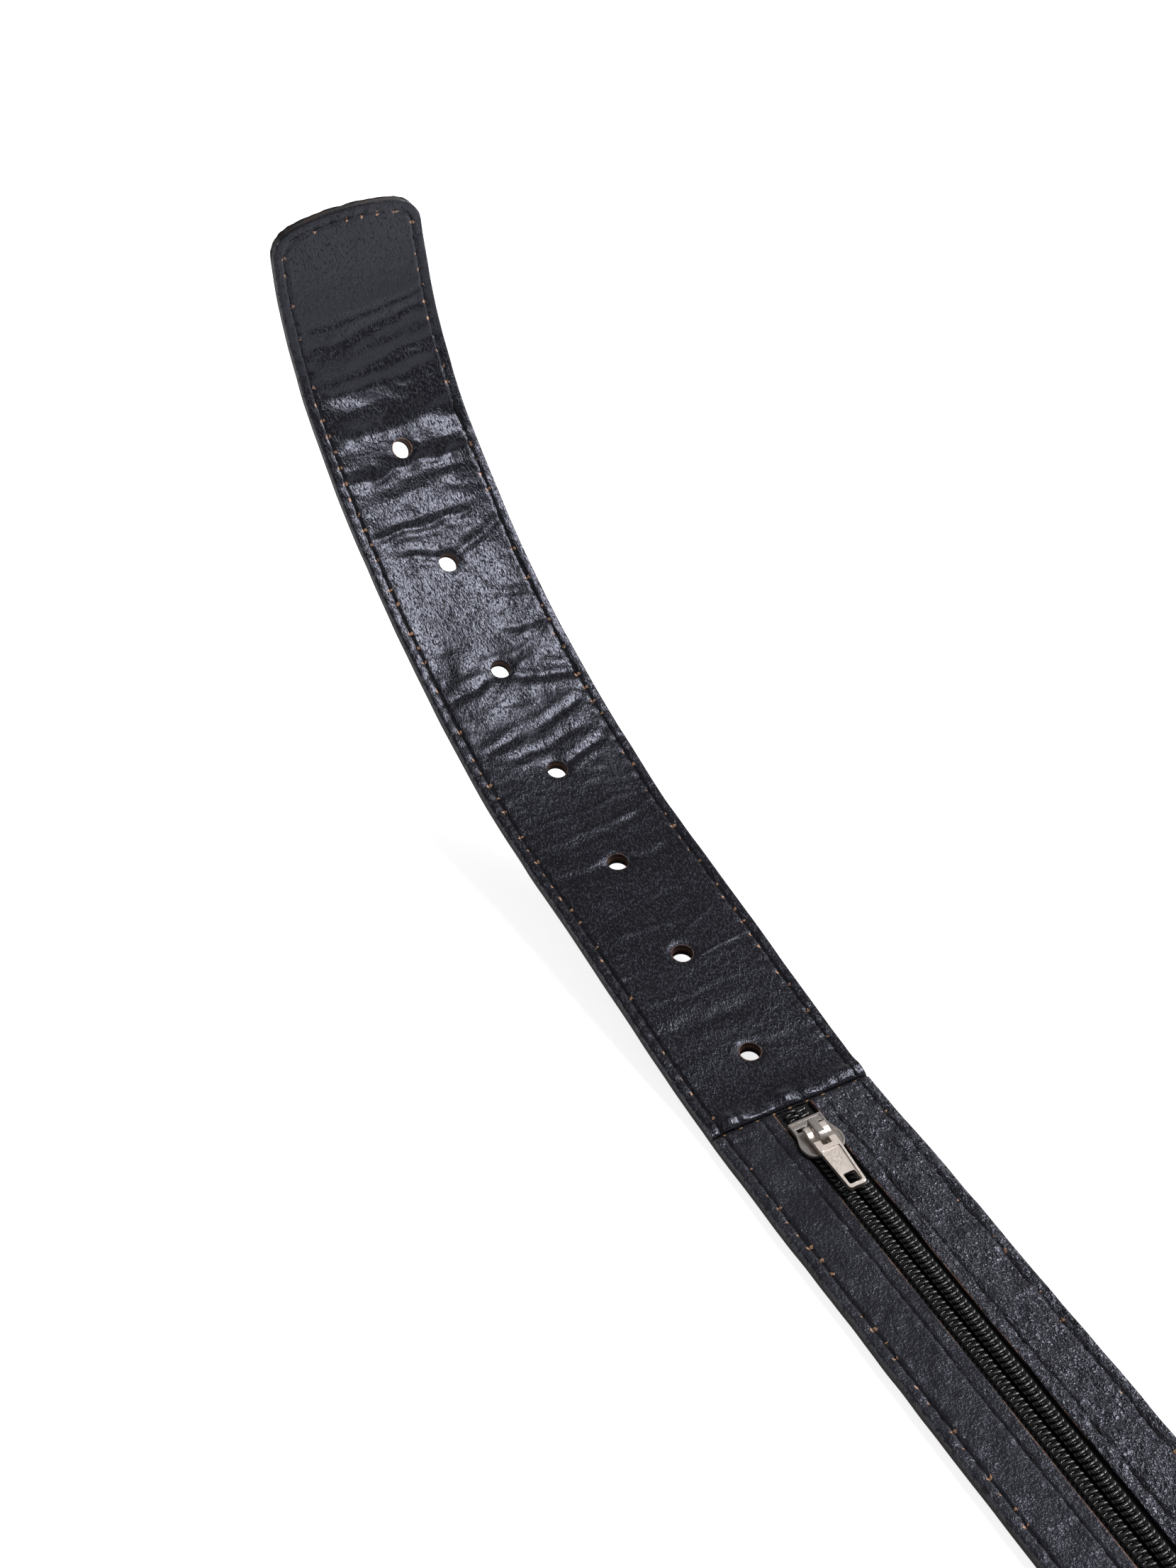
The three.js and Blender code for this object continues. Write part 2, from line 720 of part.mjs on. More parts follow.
// The thread that closes a cross seam, sunk between the leathers' turned edges
function seamThread(at) {
  const reach = half - edgeStitchInset / 2;
  const low = liningLow + sewGap;
  return flatBand(at - threadDia / 2, at + threadDia / 2, -reach, reach, low, low + threadHeight);
}

const finishes = {
  outerLeather: { color: 0x1b1a1d, roughness: 0.5, metalness: 0 },
  liningLeather: { color: 0x26252b, roughness: 0.55, metalness: 0 },
  fillerBoard: { color: 0x5b3a26, roughness: 0.9, metalness: 0 },
  zipNylon: { color: 0x101013, roughness: 0.35, metalness: 0 },
  zipTape: { color: 0x131316, roughness: 0.9, metalness: 0 },
  nickel: { color: 0xc9beb4, roughness: 0.3, metalness: 1 },
  thread: { color: 0x17161a, roughness: 0.8, metalness: 0 },
};

const moneyBelt = new THREE.Group();

function piece(name, body, finish, parent = moneyBelt) {
  const { numProp, vertProperties, triVerts } = body.getMesh();
  const geometry = new THREE.BufferGeometry();
  geometry.setAttribute('position', new THREE.BufferAttribute(new Float32Array(vertProperties), numProp));
  geometry.setIndex(new THREE.BufferAttribute(new Uint32Array(triVerts), 1));
  geometry.computeVertexNormals();
  const mesh = new THREE.Mesh(geometry, new THREE.MeshStandardMaterial(finishes[finish]));
  mesh.name = name;
  parent.add(mesh);
  return mesh;
}

piece('outer_strap', outerStrap(), 'outerLeather');
piece('filler', filler(), 'fillerBoard');
piece('tongue_lining', tongueLining(), 'liningLeather');
piece('buckle_end_lining', buckleEndLining(), 'liningLeather');

for (const [hand, side] of [['left', -1], ['right', 1]]) {
  piece(`pocket_flap_${hand}`, pocketFlap(side), 'liningLeather');
  piece(`zip_tape_${hand}`, zipTape(side), 'zipTape');
  piece(`zip_coil_${hand}`, zipCoil(side), 'zipNylon');
  piece(`zip_thread_${hand}`, zipRow(side, threadBase, threadTop, 0), 'thread');
  const underTop = tapeLow - sewGap;
  piece(`zip_bobbin_thread_${hand}`, zipRow(side, underTop - threadHeight, underTop, 0), 'thread');
}

piece('edge_thread_lining', edgeRow(threadBase, threadTop, 0), 'thread');
piece('edge_thread_face', edgeRow(threadSink, faceThreadTop, 0), 'thread');
piece('seam_thread_tongue', seamThread(seamAt), 'thread');
piece('seam_thread_buckle', seamThread(farSeamAt), 'thread');

const sliderGroup = new THREE.Group();
sliderGroup.position.x = sliderX;
moneyBelt.add(sliderGroup);
piece('slider_body', sliderBody(), 'nickel', sliderGroup);
const pull = piece('slider_pull', sliderPull(), 'nickel', sliderGroup);
pull.position.set(hingeX, 0, hingeZ);
pull.rotation.y = rad(pullTiltDeg);

const buckleGroup = new THREE.Group();
buckleGroup.position.set(barX, 0, barZ);
buckleGroup.rotation.y = buckleTilt;
moneyBelt.add(buckleGroup);
piece('buckle_frame', buckleFrame(), 'nickel', buckleGroup);
piece('buckle_bar', crossRod(0, 0, barRadius, barLength), 'nickel', buckleGroup);
piece('buckle_prong', buckleProng(), 'nickel', buckleGroup);

piece('keeper_loop', keeperLoop(), 'outerLeather');
bindingPlaces.forEach((x, i) => {
  piece(`binding_post_${i + 1}`, bindingPost(x), 'nickel');
  piece(`binding_screw_${i + 1}`, bindingScrew(x), 'nickel');
});

export default moneyBelt;
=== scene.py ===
import json
import math

import bpy
import numpy as np
from mathutils import Matrix, Vector


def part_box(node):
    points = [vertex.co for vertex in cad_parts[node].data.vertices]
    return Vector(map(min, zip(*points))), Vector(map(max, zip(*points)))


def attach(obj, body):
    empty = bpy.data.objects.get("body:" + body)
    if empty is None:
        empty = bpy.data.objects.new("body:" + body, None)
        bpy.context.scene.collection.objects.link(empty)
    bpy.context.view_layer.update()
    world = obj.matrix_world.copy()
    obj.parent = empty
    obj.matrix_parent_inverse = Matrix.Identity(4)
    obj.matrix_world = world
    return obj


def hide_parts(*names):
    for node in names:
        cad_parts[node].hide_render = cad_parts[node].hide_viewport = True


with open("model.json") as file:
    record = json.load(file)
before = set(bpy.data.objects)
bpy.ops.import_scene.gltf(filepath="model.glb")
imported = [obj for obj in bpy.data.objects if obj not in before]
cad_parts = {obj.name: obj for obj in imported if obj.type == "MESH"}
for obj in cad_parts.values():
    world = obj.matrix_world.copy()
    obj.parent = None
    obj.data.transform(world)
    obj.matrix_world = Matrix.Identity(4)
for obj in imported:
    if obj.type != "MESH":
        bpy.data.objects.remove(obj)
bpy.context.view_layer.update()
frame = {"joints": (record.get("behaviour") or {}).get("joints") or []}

# The object: a leather money belt, lying lining side up with its tongue curled off the table.
# Metres. u runs along the belt from the tip, v across it, and n up from the strap's underside.

# Tongue and its curl
TIP_TO_HOLE = 0.060
HOLE_PITCH = 0.030
HOLE_COUNT = 7
HOLE_RADIUS = 0.00235
HOLE_TO_SEAM = 0.017
TIP_CROWN = 0.060
TIP_CORNER = 0.007
CURL_TURNS = (47.7, 19.6, 17.9, -1.7)
CURL_LAST_TURN = 9.3
CURL_LAST_SHARE = 0.077
CURL_PAST_SEAM = 0.003

# Leather layers as levels above the underside: each is painted to the next with a hairline between
OUTER_TOP = 0.00129
FILLER_LOW = 0.00133
FILLER_TOP = 0.00249
LINING_LOW = 0.00253
LINING_TOP = 0.0036
OUTER_THICK = 0.0012

# Buckle end: rise before the keeper, and the fold round the bar
RISE_LENGTH = 0.062
RISE_TO_BAR = 0.110
BAR_RADIUS = 0.002
FOLD_RADIUS = 0.0023
FOLD_DROP = math.radians(8)
FOLD_BEND = 0.009
FOLD_BUMP_RUN = 0.008
FOLD_END_RUN = 0.013
BOND_GAP = 0.00025
KEEPER_THICK = 0.0012

# Stitching and relief
STITCH = 0.004
EDGE_INSET = 0.0025
ZIP_ROW = 0.0074
GROOVE_DEPTH = 0.00028
GROOVE_REACH = 0.00028
EDGE_ROUND = 0.0005
THREAD_HALF = 0.00016
THREAD_LEVELS = (0.00326, 0.00285)
BOBBIN_LEVELS = (0.00185, 0.00195)
FACE_THREAD_LEVELS = (0.00025, 0.00075)
SEAM_THREAD_LEVELS = (0.00285, 0.00275)
SEAM_THREAD_HALF = 0.00022
NO_ROW = 0.01
RAW_RIM = 0.0003
FLAP_CRINKLE = {"left": 0.00015, "right": 0.00032}
PIT_DEPTH = 0.0003
PIT_REACH = 0.0005
PILLOW_HEIGHT = 0.00009
PILLOW_PLACE = 0.0011
PILLOW_REACH = 0.0007
HOLE_DISH_DEPTH = 0.00022
HOLE_DISH_REACH = 0.0009
SEAM_HALF = 0.0003

# Zip: rows of coil and their tapes, closed for a short run behind the parked slider
TAPE_LOW = 0.00212
TAPE_HIGH = 0.00237
TAPE_HALF = 0.013
TAPE_PAST_SEAM = 0.0045
COIL_PITCH = 0.0015
COIL_LOW = 0.00247
COIL_HIGH = 0.00360
COIL_OPEN = (0.0005, 0.0035)
COIL_SHUT = (-0.00034, 0.0028)
FILAMENT = 0.00028
FILAMENT_HALF = 0.00037
COIL_LEAN = 0.00013
COIL_START = 0.0007
COIL_STEPS = 12
SEWING_HALF = 0.00010

# Zip slider, with its pull tab drawn flat from its hinge
BASE_LOW = 0.0014
BASE_HIGH = 0.0020
PLATE_LOW = 0.00384
PLATE_HIGH = 0.00469
SLIDER_REAR = 0.00395
SLIDER_WAIST = 0.0039
SLIDER_LOBE = 0.0049
SLIDER_RIM = 0.00045
SLIDER_DISH = 0.00020
SLIDER_LIP = (0.00135, 0.00185)
SLIDER_SLOT = (0.0020, 0.0030)
SLIDER_SLOT_REACH = (0.00105, 0.0031)
SLIDER_POST = (0.0066, 0.0100)
SLIDER_POST_HALF = 0.00035
FLANGE_IN = 0.00362
FLANGE_THICK = 0.00032
FLANGE_LENGTH = 0.0085
BRIDGE_HALF = 0.00085
BRIDGE_REAR = 0.0026
BRIDGE_LENGTH = 0.006
BRIDGE_THICK = 0.00075
PULL_TILT = math.radians(4)
PULL_THICK = 0.0011
PULL_HEAD = 0.0026
PULL_END = 0.00205
PULL_LENGTH = 0.0182
PULL_WINDOW = 0.0061
PULL_HOLE = 0.0031
PULL_RIM = 0.0005
PULL_WALL = 0.0009
PULL_DIP = 0.0030
PULL_DIP_PLACE = (0.0027, 0.00268)

# Buckle, drawn flat round the bar's axis
FRAME_INNER = 0.0202
FRAME_RAIL = 0.0052
FRAME_FRONT = 0.006
FRAME_REACH = 0.024
FRAME_THICK = 0.0042
FRAME_HEEL = 0.0042
FRAME_CORNER = 0.0055
FRAME_INNER_CORNER = 0.0022
FRAME_ROUND = 0.0013
SOCKET_SKIN = 0.0013
BAR_PLAY = 0.0003
PRONG_HALF = 0.0021
PRONG_THICK = 0.0024
PRONG_EYE = 0.0036
PRONG_OVERHANG = 0.0015
FLOOR_GAP = 0.00025

# Binding posts and their screws
BINDING_HEAD = 0.0045
BINDING_BARREL = 0.0022
BINDING_HOLE = 0.0025
HEAD_RISE = 0.0009
HEAD_FLAT = 0.0012
SCREW_SHANK = 0.0012
SCREW_SLOT = 0.0011
SCREW_SLOT_DEPTH = 0.0004

LINE_STEP = 0.00025
MM = (1000, 1000, 1000)

# Materials and light
RAW_TAN = (0.25, 0.12, 0.068)
# The next colour is the board's darker grain tan and also painted shade on the lower walls of holes and cut
# leather edges
DARK_TAN_AND_WALL_SHADE = (0.014, 0.006, 0.004)
FLECK_TAN = (0.50, 0.29, 0.18)
FLUFF_TAN = (0.40, 0.24, 0.13)
EDGE_PAINT = (0.010, 0.009, 0.010)
# Painted shade for the stitch grooves, laid into the leather's colour along each row
PAINTED_GROOVE_SHADE = (0.005, 0.005, 0.006)
BOARD_PAINT = (0.011, 0.010, 0.011)
THREAD_BLACKS = ((0.005, 0.005, 0.006), (0.014, 0.013, 0.016))
NYLON_BLACK = (0.006, 0.006, 0.007)
NYLON_SCUFF = (0.045, 0.044, 0.046)
TAPE_LINT = (0.03, 0.03, 0.032)
SHEEN_TINT = (0.80, 0.82, 1.0, 1)
CEILING = 0.12
KEY_POWER = 9.5
SIDE_POWER = 8.0
GLOW = 0.8
FLOOR_HALF = 3
FLOOR_DROP = 0.0002

# Camera of the photograph
CAMERA_PLACE = (0.050478, -0.217064, 0.447869)
CAMERA_AHEAD = (-0.68627, 0.33348, -0.64639)
CAMERA_UP = (-0.55770, 0.32923, 0.76196)
CAMERA_LENS = 65.76
SENSOR_HEIGHT = 36


def centre(node):
    """Middle of a CAD node's box."""
    low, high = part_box(node)
    return (low + high) / 2


JOINTS = {joint["name"]: joint for joint in frame["joints"]}
BAR = Vector(JOINTS["buckle_hinge"]["pos_m"])
AXIS_LEVEL = OUTER_THICK + FOLD_RADIUS
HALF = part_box("outer_strap")[1].y
SEAM_X = centre("seam_thread_tongue").x
FAR_SEAM_X = centre("seam_thread_buckle").x
SLOT_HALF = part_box("pocket_flap_right")[0].y
KEEPER_RISE = BAR.z - AXIS_LEVEL
HOLES_U = TIP_TO_HOLE + HOLE_PITCH * np.arange(HOLE_COUNT)
SEAM_U = HOLES_U[-1] + HOLE_TO_SEAM
FAR_SEAM_U = SEAM_U + FAR_SEAM_X - SEAM_X


# The belt's line

def s_bend(height, length):
    """Two equal and opposite arcs that climb by height over a level length, as (run, turn, moves)."""
    turn = 2 * math.atan(height / length)
    run = length * turn / (2 * math.sin(turn))
    return [(run, turn, 1), (run, -turn, 1)]


def belt_line():
    """Table of u, x, z and heading at the bar's level: headings add up along bends of even turn."""
    flat_u = SEAM_U + CURL_PAST_SEAM
    last = CURL_LAST_SHARE * flat_u
    bend = (flat_u - last) / len(CURL_TURNS)
    flat_end = BAR.x - RISE_TO_BAR - RISE_LENGTH
    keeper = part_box("keeper_loop")
    keeper_width = keeper[1].x - keeper[0].x
    fold_level = LINING_TOP + BOND_GAP
    drop = AXIS_LEVEL + FOLD_RADIUS - fold_level
    slope = (drop - FOLD_BEND * (1 - math.cos(FOLD_DROP))) / math.sin(FOLD_DROP)
    step_over = KEEPER_THICK + BOND_GAP
    fold_flat = (
        BAR.x - keeper[1].x - BOND_GAP - FOLD_BUMP_RUN
        - slope * math.cos(FOLD_DROP) - FOLD_BEND * math.sin(FOLD_DROP)
    )
    bends = [(bend, math.radians(turn), 1) for turn in CURL_TURNS]
    bends += [
        (last, math.radians(CURL_LAST_TURN), 1),
        (flat_end - SEAM_X - CURL_PAST_SEAM, 0, 1),
        *s_bend(KEEPER_RISE, RISE_LENGTH),
        (RISE_TO_BAR, 0, 1),
    ]
    at_bar = len(bends)
    bends += [
        (FOLD_RADIUS * (math.pi + FOLD_DROP), math.pi + FOLD_DROP, 0),
        (slope, 0, 1),
        (FOLD_BEND * FOLD_DROP, -FOLD_DROP, 1),
        (fold_flat, 0, 1),
        *s_bend(-step_over, FOLD_BUMP_RUN),
        (keeper_width + 2 * BOND_GAP, 0, 1),
        *s_bend(step_over, FOLD_BUMP_RUN),
        (FOLD_END_RUN, 0, 1),
    ]
    runs, turns, moves = (np.array(column, float) for column in zip(*bends))
    ends = np.concatenate([[0], np.cumsum(runs)])
    u = np.unique(np.concatenate([np.arange(0, ends[-1], LINE_STEP), ends]))
    which = np.clip(np.searchsorted(ends, (u[1:] + u[:-1]) / 2, side="right") - 1, 0, len(runs) - 1)
    step = np.diff(u)
    turn = (turns / runs)[which] * step
    heading = np.concatenate([[0], np.cumsum(turn)])
    heading -= np.interp(SEAM_U + CURL_PAST_SEAM, u, heading)
    middle = heading[:-1] + turn / 2
    x = np.concatenate([[0], np.cumsum(step * moves[which] * np.cos(middle))])
    z = np.concatenate([[0], np.cumsum(step * moves[which] * np.sin(middle))])
    x += SEAM_X + CURL_PAST_SEAM - np.interp(flat_u, u, x)
    z += AXIS_LEVEL - np.interp(flat_u, u, z)
    return {"u": u, "x": x, "z": z, "heading": heading, "bar": ends[at_bar], "end": ends[-1]}


LINE = belt_line()
BAR_U = LINE["bar"]
END_U = LINE["end"]


def on_belt(u, v, n):
    """Point of the belt: the line's point at u, moved across by v and along its normal to level n."""
    x, z, heading = (np.interp(u, LINE["u"], LINE[key]) for key in ("x", "z", "heading"))
    rise = n - AXIS_LEVEL
    return np.stack([x - rise * np.sin(heading), v + 0 * x, z + rise * np.cos(heading)], axis=-1)


def u_at(x):
    """Place along the belt of a station x between the pocket and the bar."""
    before = LINE["u"] <= BAR_U
    return float(np.interp(x, LINE["x"][before], LINE["u"][before]))


def tip_outline(v, inset=0.0):
    """Tip's outline u(v): a circular crown, then corner rounds tangent to it and to the sides."""
    reach = np.minimum(np.abs(v), HALF - inset)
    across = HALF - TIP_CORNER
    back = TIP_CROWN - math.sqrt((TIP_CROWN - TIP_CORNER) ** 2 - across ** 2)
    crown = TIP_CROWN - inset
    corner = TIP_CORNER - inset
    meet = across * crown / (TIP_CROWN - TIP_CORNER)
    round_part = back - np.sqrt(np.maximum(corner ** 2 - np.maximum(reach - across, 0) ** 2, 0))
    crown_part = TIP_CROWN - np.sqrt(crown ** 2 - reach ** 2)
    return np.where(reach < meet, crown_part, round_part)


TIP_BACK = float(tip_outline(HALF))
OUTLINE_V = HALF * np.sin(np.linspace(-math.pi / 2, math.pi / 2, 181))
OUTLINE_U = tip_outline(OUTLINE_V)


def edge_distance(u, v):
    """Distance to the belt's edge: to its sides, and near the tip to the outline as well."""
    distance = HALF - np.abs(v)
    near = u < 3 * TIP_BACK
    if near.any():
        gap_u = u[near][:, None] - OUTLINE_U[None, :]
        gap_v = v[near][:, None] - OUTLINE_V[None, :]
        to_tip = np.sqrt((gap_u ** 2 + gap_v ** 2).min(axis=1))
        distance[near] = np.minimum(distance[near], to_tip)
    return np.maximum(distance, 0)


# Noise and grids

def noise(u, v, cell_u, cell_v, seed):
    """Smooth value noise from -1 to 1 on a seeded lattice with cells of the given size."""
    table = np.random.default_rng(seed).uniform(-1, 1, (257, 257))
    table[-1] = table[0]
    table[:, -1] = table[:, 0]
    a, b = np.mod(u / cell_u, 256), np.mod(v / cell_v, 256)
    i, j = a.astype(int), b.astype(int)
    s, t = a - i, b - j
    s, t = s * s * (3 - 2 * s), t * t * (3 - 2 * t)
    low = table[i, j] * (1 - s) + table[i + 1, j] * s
    high = table[i, j + 1] * (1 - s) + table[i + 1, j + 1] * s
    return low * (1 - t) + high * t


def fractal(u, v, cell_u, cell_v, seed, octaves=3):
    """Sum of noises whose cells and heights halve each time."""
    return sum(
        noise(u, v, cell_u / 2 ** k, cell_v / 2 ** k, seed + k) / 2 ** k for k in range(octaves)
    )


def smooth(x, low, high):
    """Smooth step from 0 at low to 1 at high."""
    t = np.clip((x - low) / (high - low), 0, 1)
    return t * t * (3 - 2 * t)


def unit(rows):
    """Rows scaled to length 1."""
    return rows / np.linalg.norm(rows, axis=1)[:, None]


def bump(x, reach):
    """Bell curve of height 1, a share 1/e high at its reach."""
    return np.exp(-((x / reach) ** 2))


def graded(start, end, coarse, fine=None, near=(), reach=0.001):
    """Places from start to end, coarse apart and graded down to fine apart near some of them."""
    probe = np.linspace(start, end, 4000)
    density = np.full(probe.shape, 1 / coarse)
    for place in near:
        density = np.maximum(density, 1 / coarse + (1 / fine - 1 / coarse) * bump(probe - place, reach))
    total = np.concatenate([[0], np.cumsum((density[1:] + density[:-1]) / 2 * np.diff(probe))])
    return np.interp(np.linspace(0, total[-1], math.ceil(total[-1]) + 1), total, probe)


# Meshes

def new_object(name, points, faces, sharp=40):
    """Mesh object from points and faces, in metres, shaded smooth but for edges sharper than an angle."""
    mesh = bpy.data.meshes.new(name)
    mesh.from_pydata(points.tolist(), [], faces.tolist() if isinstance(faces, np.ndarray) else faces)
    thing = bpy.data.objects.new(name, mesh)
    bpy.context.scene.collection.objects.link(thing)
    shade(thing, sharp)
    return thing


def shade(thing, sharp=40):
    """Smooth shading, broken at edges sharper than an angle in degrees."""
    thing.data.shade_smooth()
    thing.data.set_sharp_from_angle(angle=math.radians(sharp))


def grid_faces(rows, columns, closed_rows=False, closed_columns=False):
    """Faces of a grid of points stored row by row, with either direction closed on itself."""
    i = np.arange(rows if closed_rows else rows - 1)
    j = np.arange(columns if closed_columns else columns - 1)
    i, j = (a.ravel() for a in np.meshgrid(i, j, indexing="ij"))
    k, l = (i + 1) % rows, (j + 1) % columns
    return np.stack([i * columns + j, k * columns + j, k * columns + l, i * columns + l], axis=1)


def shell(u, v, fine_top=True):
    """Flat closed slab on a grid u, v at shares 0 and 1 of its thickness: the seen face has the whole
    grid, the other one a strip across for each row, and a wall joins their rims."""
    rows, columns = u.shape
    count = rows * columns
    index = np.arange(count).reshape(rows, columns)
    loop = np.concatenate([index[0, :-1], index[:-1, -1], index[-1, :0:-1], index[:0:-1, 0]])
    near = np.stack([u.ravel(), v.ravel(), np.full(count, float(fine_top))], axis=1)
    far = near[loop] * [1, 1, 0] + [0, 0, float(not fine_top)]
    rim = np.zeros(count, int)
    rim[loop] = count + np.arange(len(loop))
    rim = rim.reshape(rows, columns)
    inner = slice(1, rows - 2), slice(2, rows - 1)
    strips = np.stack([rim[inner[0], 0], rim[inner[1], 0], rim[inner[1], -1], rim[inner[0], -1]], axis=1)
    ends = [
        [rim[0, 0], rim[1, 0], rim[1, -1], *rim[0, :0:-1]],
        [rim[-2, 0], *rim[-1, :], rim[-2, -1]],
    ]
    grid = grid_faces(rows, columns)
    own = rim.ravel()[loop]
    low, high = (own, loop) if fine_top else (loop, own)
    wall = np.stack([low, high, np.roll(high, -1), np.roll(low, -1)], axis=1)
    if fine_top:
        strips, ends = strips[:, ::-1], [end[::-1] for end in ends]
    else:
        grid = grid[:, ::-1]
    faces = [*grid.tolist(), *strips.tolist(), *wall.tolist(), *[[int(k) for k in end] for end in ends]]
    return np.concatenate([near, far]), faces


def vertices(mesh):
    """Vertex places of a mesh as an array of rows."""
    points = np.empty(len(mesh.vertices) * 3, np.float32)
    mesh.vertices.foreach_get("co", points)
    return points.reshape(-1, 3).astype(float)


def attribute(mesh, name, values):
    """Stores a value or a vector for each vertex under a name that materials read."""
    kind, key = ("FLOAT", "value") if values.ndim == 1 else ("FLOAT_VECTOR", "vector")
    layer = mesh.attributes.new(name, kind, "POINT")
    layer.data.foreach_set(key, values.astype(np.float32).ravel())


def apply_modifiers(thing):
    """Keeps what the modifiers make as the mesh itself."""
    graph = bpy.context.evaluated_depsgraph_get()
    made = bpy.data.meshes.new_from_object(thing.evaluated_get(graph))
    old = thing.data
    thing.modifiers.clear()
    thing.data = made
    bpy.data.meshes.remove(old)
    made.name = thing.name
    made.polygons.foreach_set("material_index", np.zeros(len(made.polygons), np.int32))


def boolean(thing, tool, operation="DIFFERENCE"):
    """Cuts a tool out of an object, or joins it on, and removes the tool."""
    modifier = thing.modifiers.new("boolean", "BOOLEAN")
    modifier.operation = operation
    modifier.solver = "MANIFOLD"
    modifier.object = tool
    apply_modifiers(thing)
    bpy.data.objects.remove(tool)


def join(thing, tool):
    boolean(thing, tool, "UNION")


def soften(thing, width, segments=2, angle=30):
    """Rounds the edges of a hard piece, so that they catch the light, and keeps its flats flat."""
    modifier = thing.modifiers.new("edges", "BEVEL")
    modifier.width = width
    modifier.segments = segments
    modifier.angle_limit = math.radians(angle)
    apply_modifiers(thing)


def settle(thing, matrix, sharp=40):
    """Last step of a hard piece: flats shade flat and their rounds smooth, and it goes to its place."""
    shade(thing, sharp)
    thing.modifiers.new("normals", "WEIGHTED_NORMAL").keep_sharp = True
    apply_modifiers(thing)
    return moved(thing, matrix)


def moved(thing, matrix):
    """Puts a piece in its place in the frame, in its mesh."""
    thing.data.transform(matrix)
    return thing


# Outlines, and plates carried up from them

def circle(radius, sides=40, middle=(0, 0)):
    turn = 2 * math.pi * np.arange(sides) / sides
    return np.stack([radius * np.cos(turn), radius * np.sin(turn)], axis=1) + middle


def rectangle(x0, x1, y0, y1):
    return np.array([(x0, y0), (x1, y0), (x1, y1), (x0, y1)])


def rounded(corners, radii, steps=5):
    """Outline through corners, each rounded by an arc tangent to both of its sides."""
    corners = np.asarray(corners, float)
    radii = np.broadcast_to(radii, len(corners))
    outline = []
    for before, corner, after, radius in zip(
        np.roll(corners, 1, axis=0), corners, np.roll(corners, -1, axis=0), radii
    ):
        if radius == 0:
            outline.append(corner[None])
            continue
        back = (before - corner) / np.linalg.norm(before - corner)
        ahead = (after - corner) / np.linalg.norm(after - corner)
        half = math.acos(np.clip(back @ ahead, -1, 1)) / 2
        middle = corner + (back + ahead) / np.linalg.norm(back + ahead) * radius / math.sin(half)
        start, end = (corner + way * radius / math.tan(half) - middle for way in (back, ahead))
        first = math.atan2(start[1], start[0])
        sweep = (math.atan2(end[1], end[0]) - first + math.pi) % (2 * math.pi) - math.pi
        turn = first + sweep * np.linspace(0, 1, steps + 1)
        outline.append(middle + radius * np.stack([np.cos(turn), np.sin(turn)], axis=1))
    return np.concatenate(outline)


def inset(outline, reach):
    """Outline drawn inwards: each point moves along the mitre of its two sides."""
    back = outline - np.roll(outline, 1, axis=0)
    ahead = np.roll(outline, -1, axis=0) - outline
    back, ahead = (side / np.linalg.norm(side, axis=1)[:, None] for side in (back, ahead))
    normal = np.stack([-back[:, 1] - ahead[:, 1], back[:, 0] + ahead[:, 0]], axis=1)
    return outline + reach * normal / (1 + (back * ahead).sum(axis=1))[:, None]


def capped(name, rings, sharp):
    """Closed piece from rings of points in a row, with a flat cap at each end."""
    count = len(rings[0])
    last = (len(rings) - 1) * count
    faces = grid_faces(len(rings), count, closed_columns=True)[:, ::-1].tolist()
    faces.append(list(range(count))[::-1])
    faces.append([last + k for k in range(count)])
    return new_object(name, np.concatenate(rings), faces, sharp)


def stacked(name, outline, steps, sharp=40):
    """Closed piece from an outline seen from above: rings drawn in by each inset at each level."""
    rings = []
    for reach, level in steps:
        rings.append(np.column_stack([inset(outline, reach), np.full(len(outline), level)]))
    return capped(name, rings, sharp)


def plate(outline, low, high, name="tool"):
    return stacked(name, outline, [(0, low), (0, high)])


def round_edges(low, high, radius, steps=4):
    """Insets and levels of a plate whose two edges are quarter rounds, with a narrow flat beside them."""
    turn = np.linspace(0, math.pi / 2, steps + 1)
    down = [(radius * (1 - math.sin(a)), low + radius * (1 - math.cos(a))) for a in turn]
    flat = 1.25 * radius
    return [(flat, low), *down, *[(reach, low + high - level) for reach, level in down[::-1]], (flat, high)]


UPRIGHT = Matrix(((1, 0, 0, 0), (0, 0, -1, 0), (0, 1, 0, 0), (0, 0, 0, 1)))


def side_plate(outline, half, name="tool"):
    """Plate from an outline in X and Z, as wide across the belt as twice the half width."""
    return moved(plate(outline, -half, half, name), UPRIGHT)


def tube(name, path, side, width, height, sides):
    """Ellipse of the given half width and half height carried along a path. Its width lies along the
    side direction, made square to the path."""
    ahead = np.roll(path, -1, axis=0) - np.roll(path, 1, axis=0)
    ahead[0], ahead[-1] = path[1] - path[0], path[-1] - path[-2]
    ahead = unit(ahead)
    across = unit(side - (side * ahead).sum(axis=1)[:, None] * ahead)
    up = np.cross(ahead, across)
    turn = 2 * math.pi * np.arange(sides) / sides
    cos, sin = np.cos(turn)[None, :, None], np.sin(turn)[None, :, None]
    ring = width * cos * across[:, None] + height * sin * up[:, None]
    return capped(name, path[:, None] + ring, 80)


def joined(name, things):
    """Several pieces of one kind as one object."""
    parts = [(vertices(thing.data), thing.data) for thing in things]
    points = np.concatenate([place for place, _ in parts])
    starts = np.cumsum([0] + [len(place) for place, _ in parts])
    faces = []
    for start, (_, mesh) in zip(starts, parts):
        faces += [[start + k for k in face.vertices] for face in mesh.polygons]
    for thing in things:
        bpy.data.objects.remove(thing)
    return new_object(name, points, faces, 80)


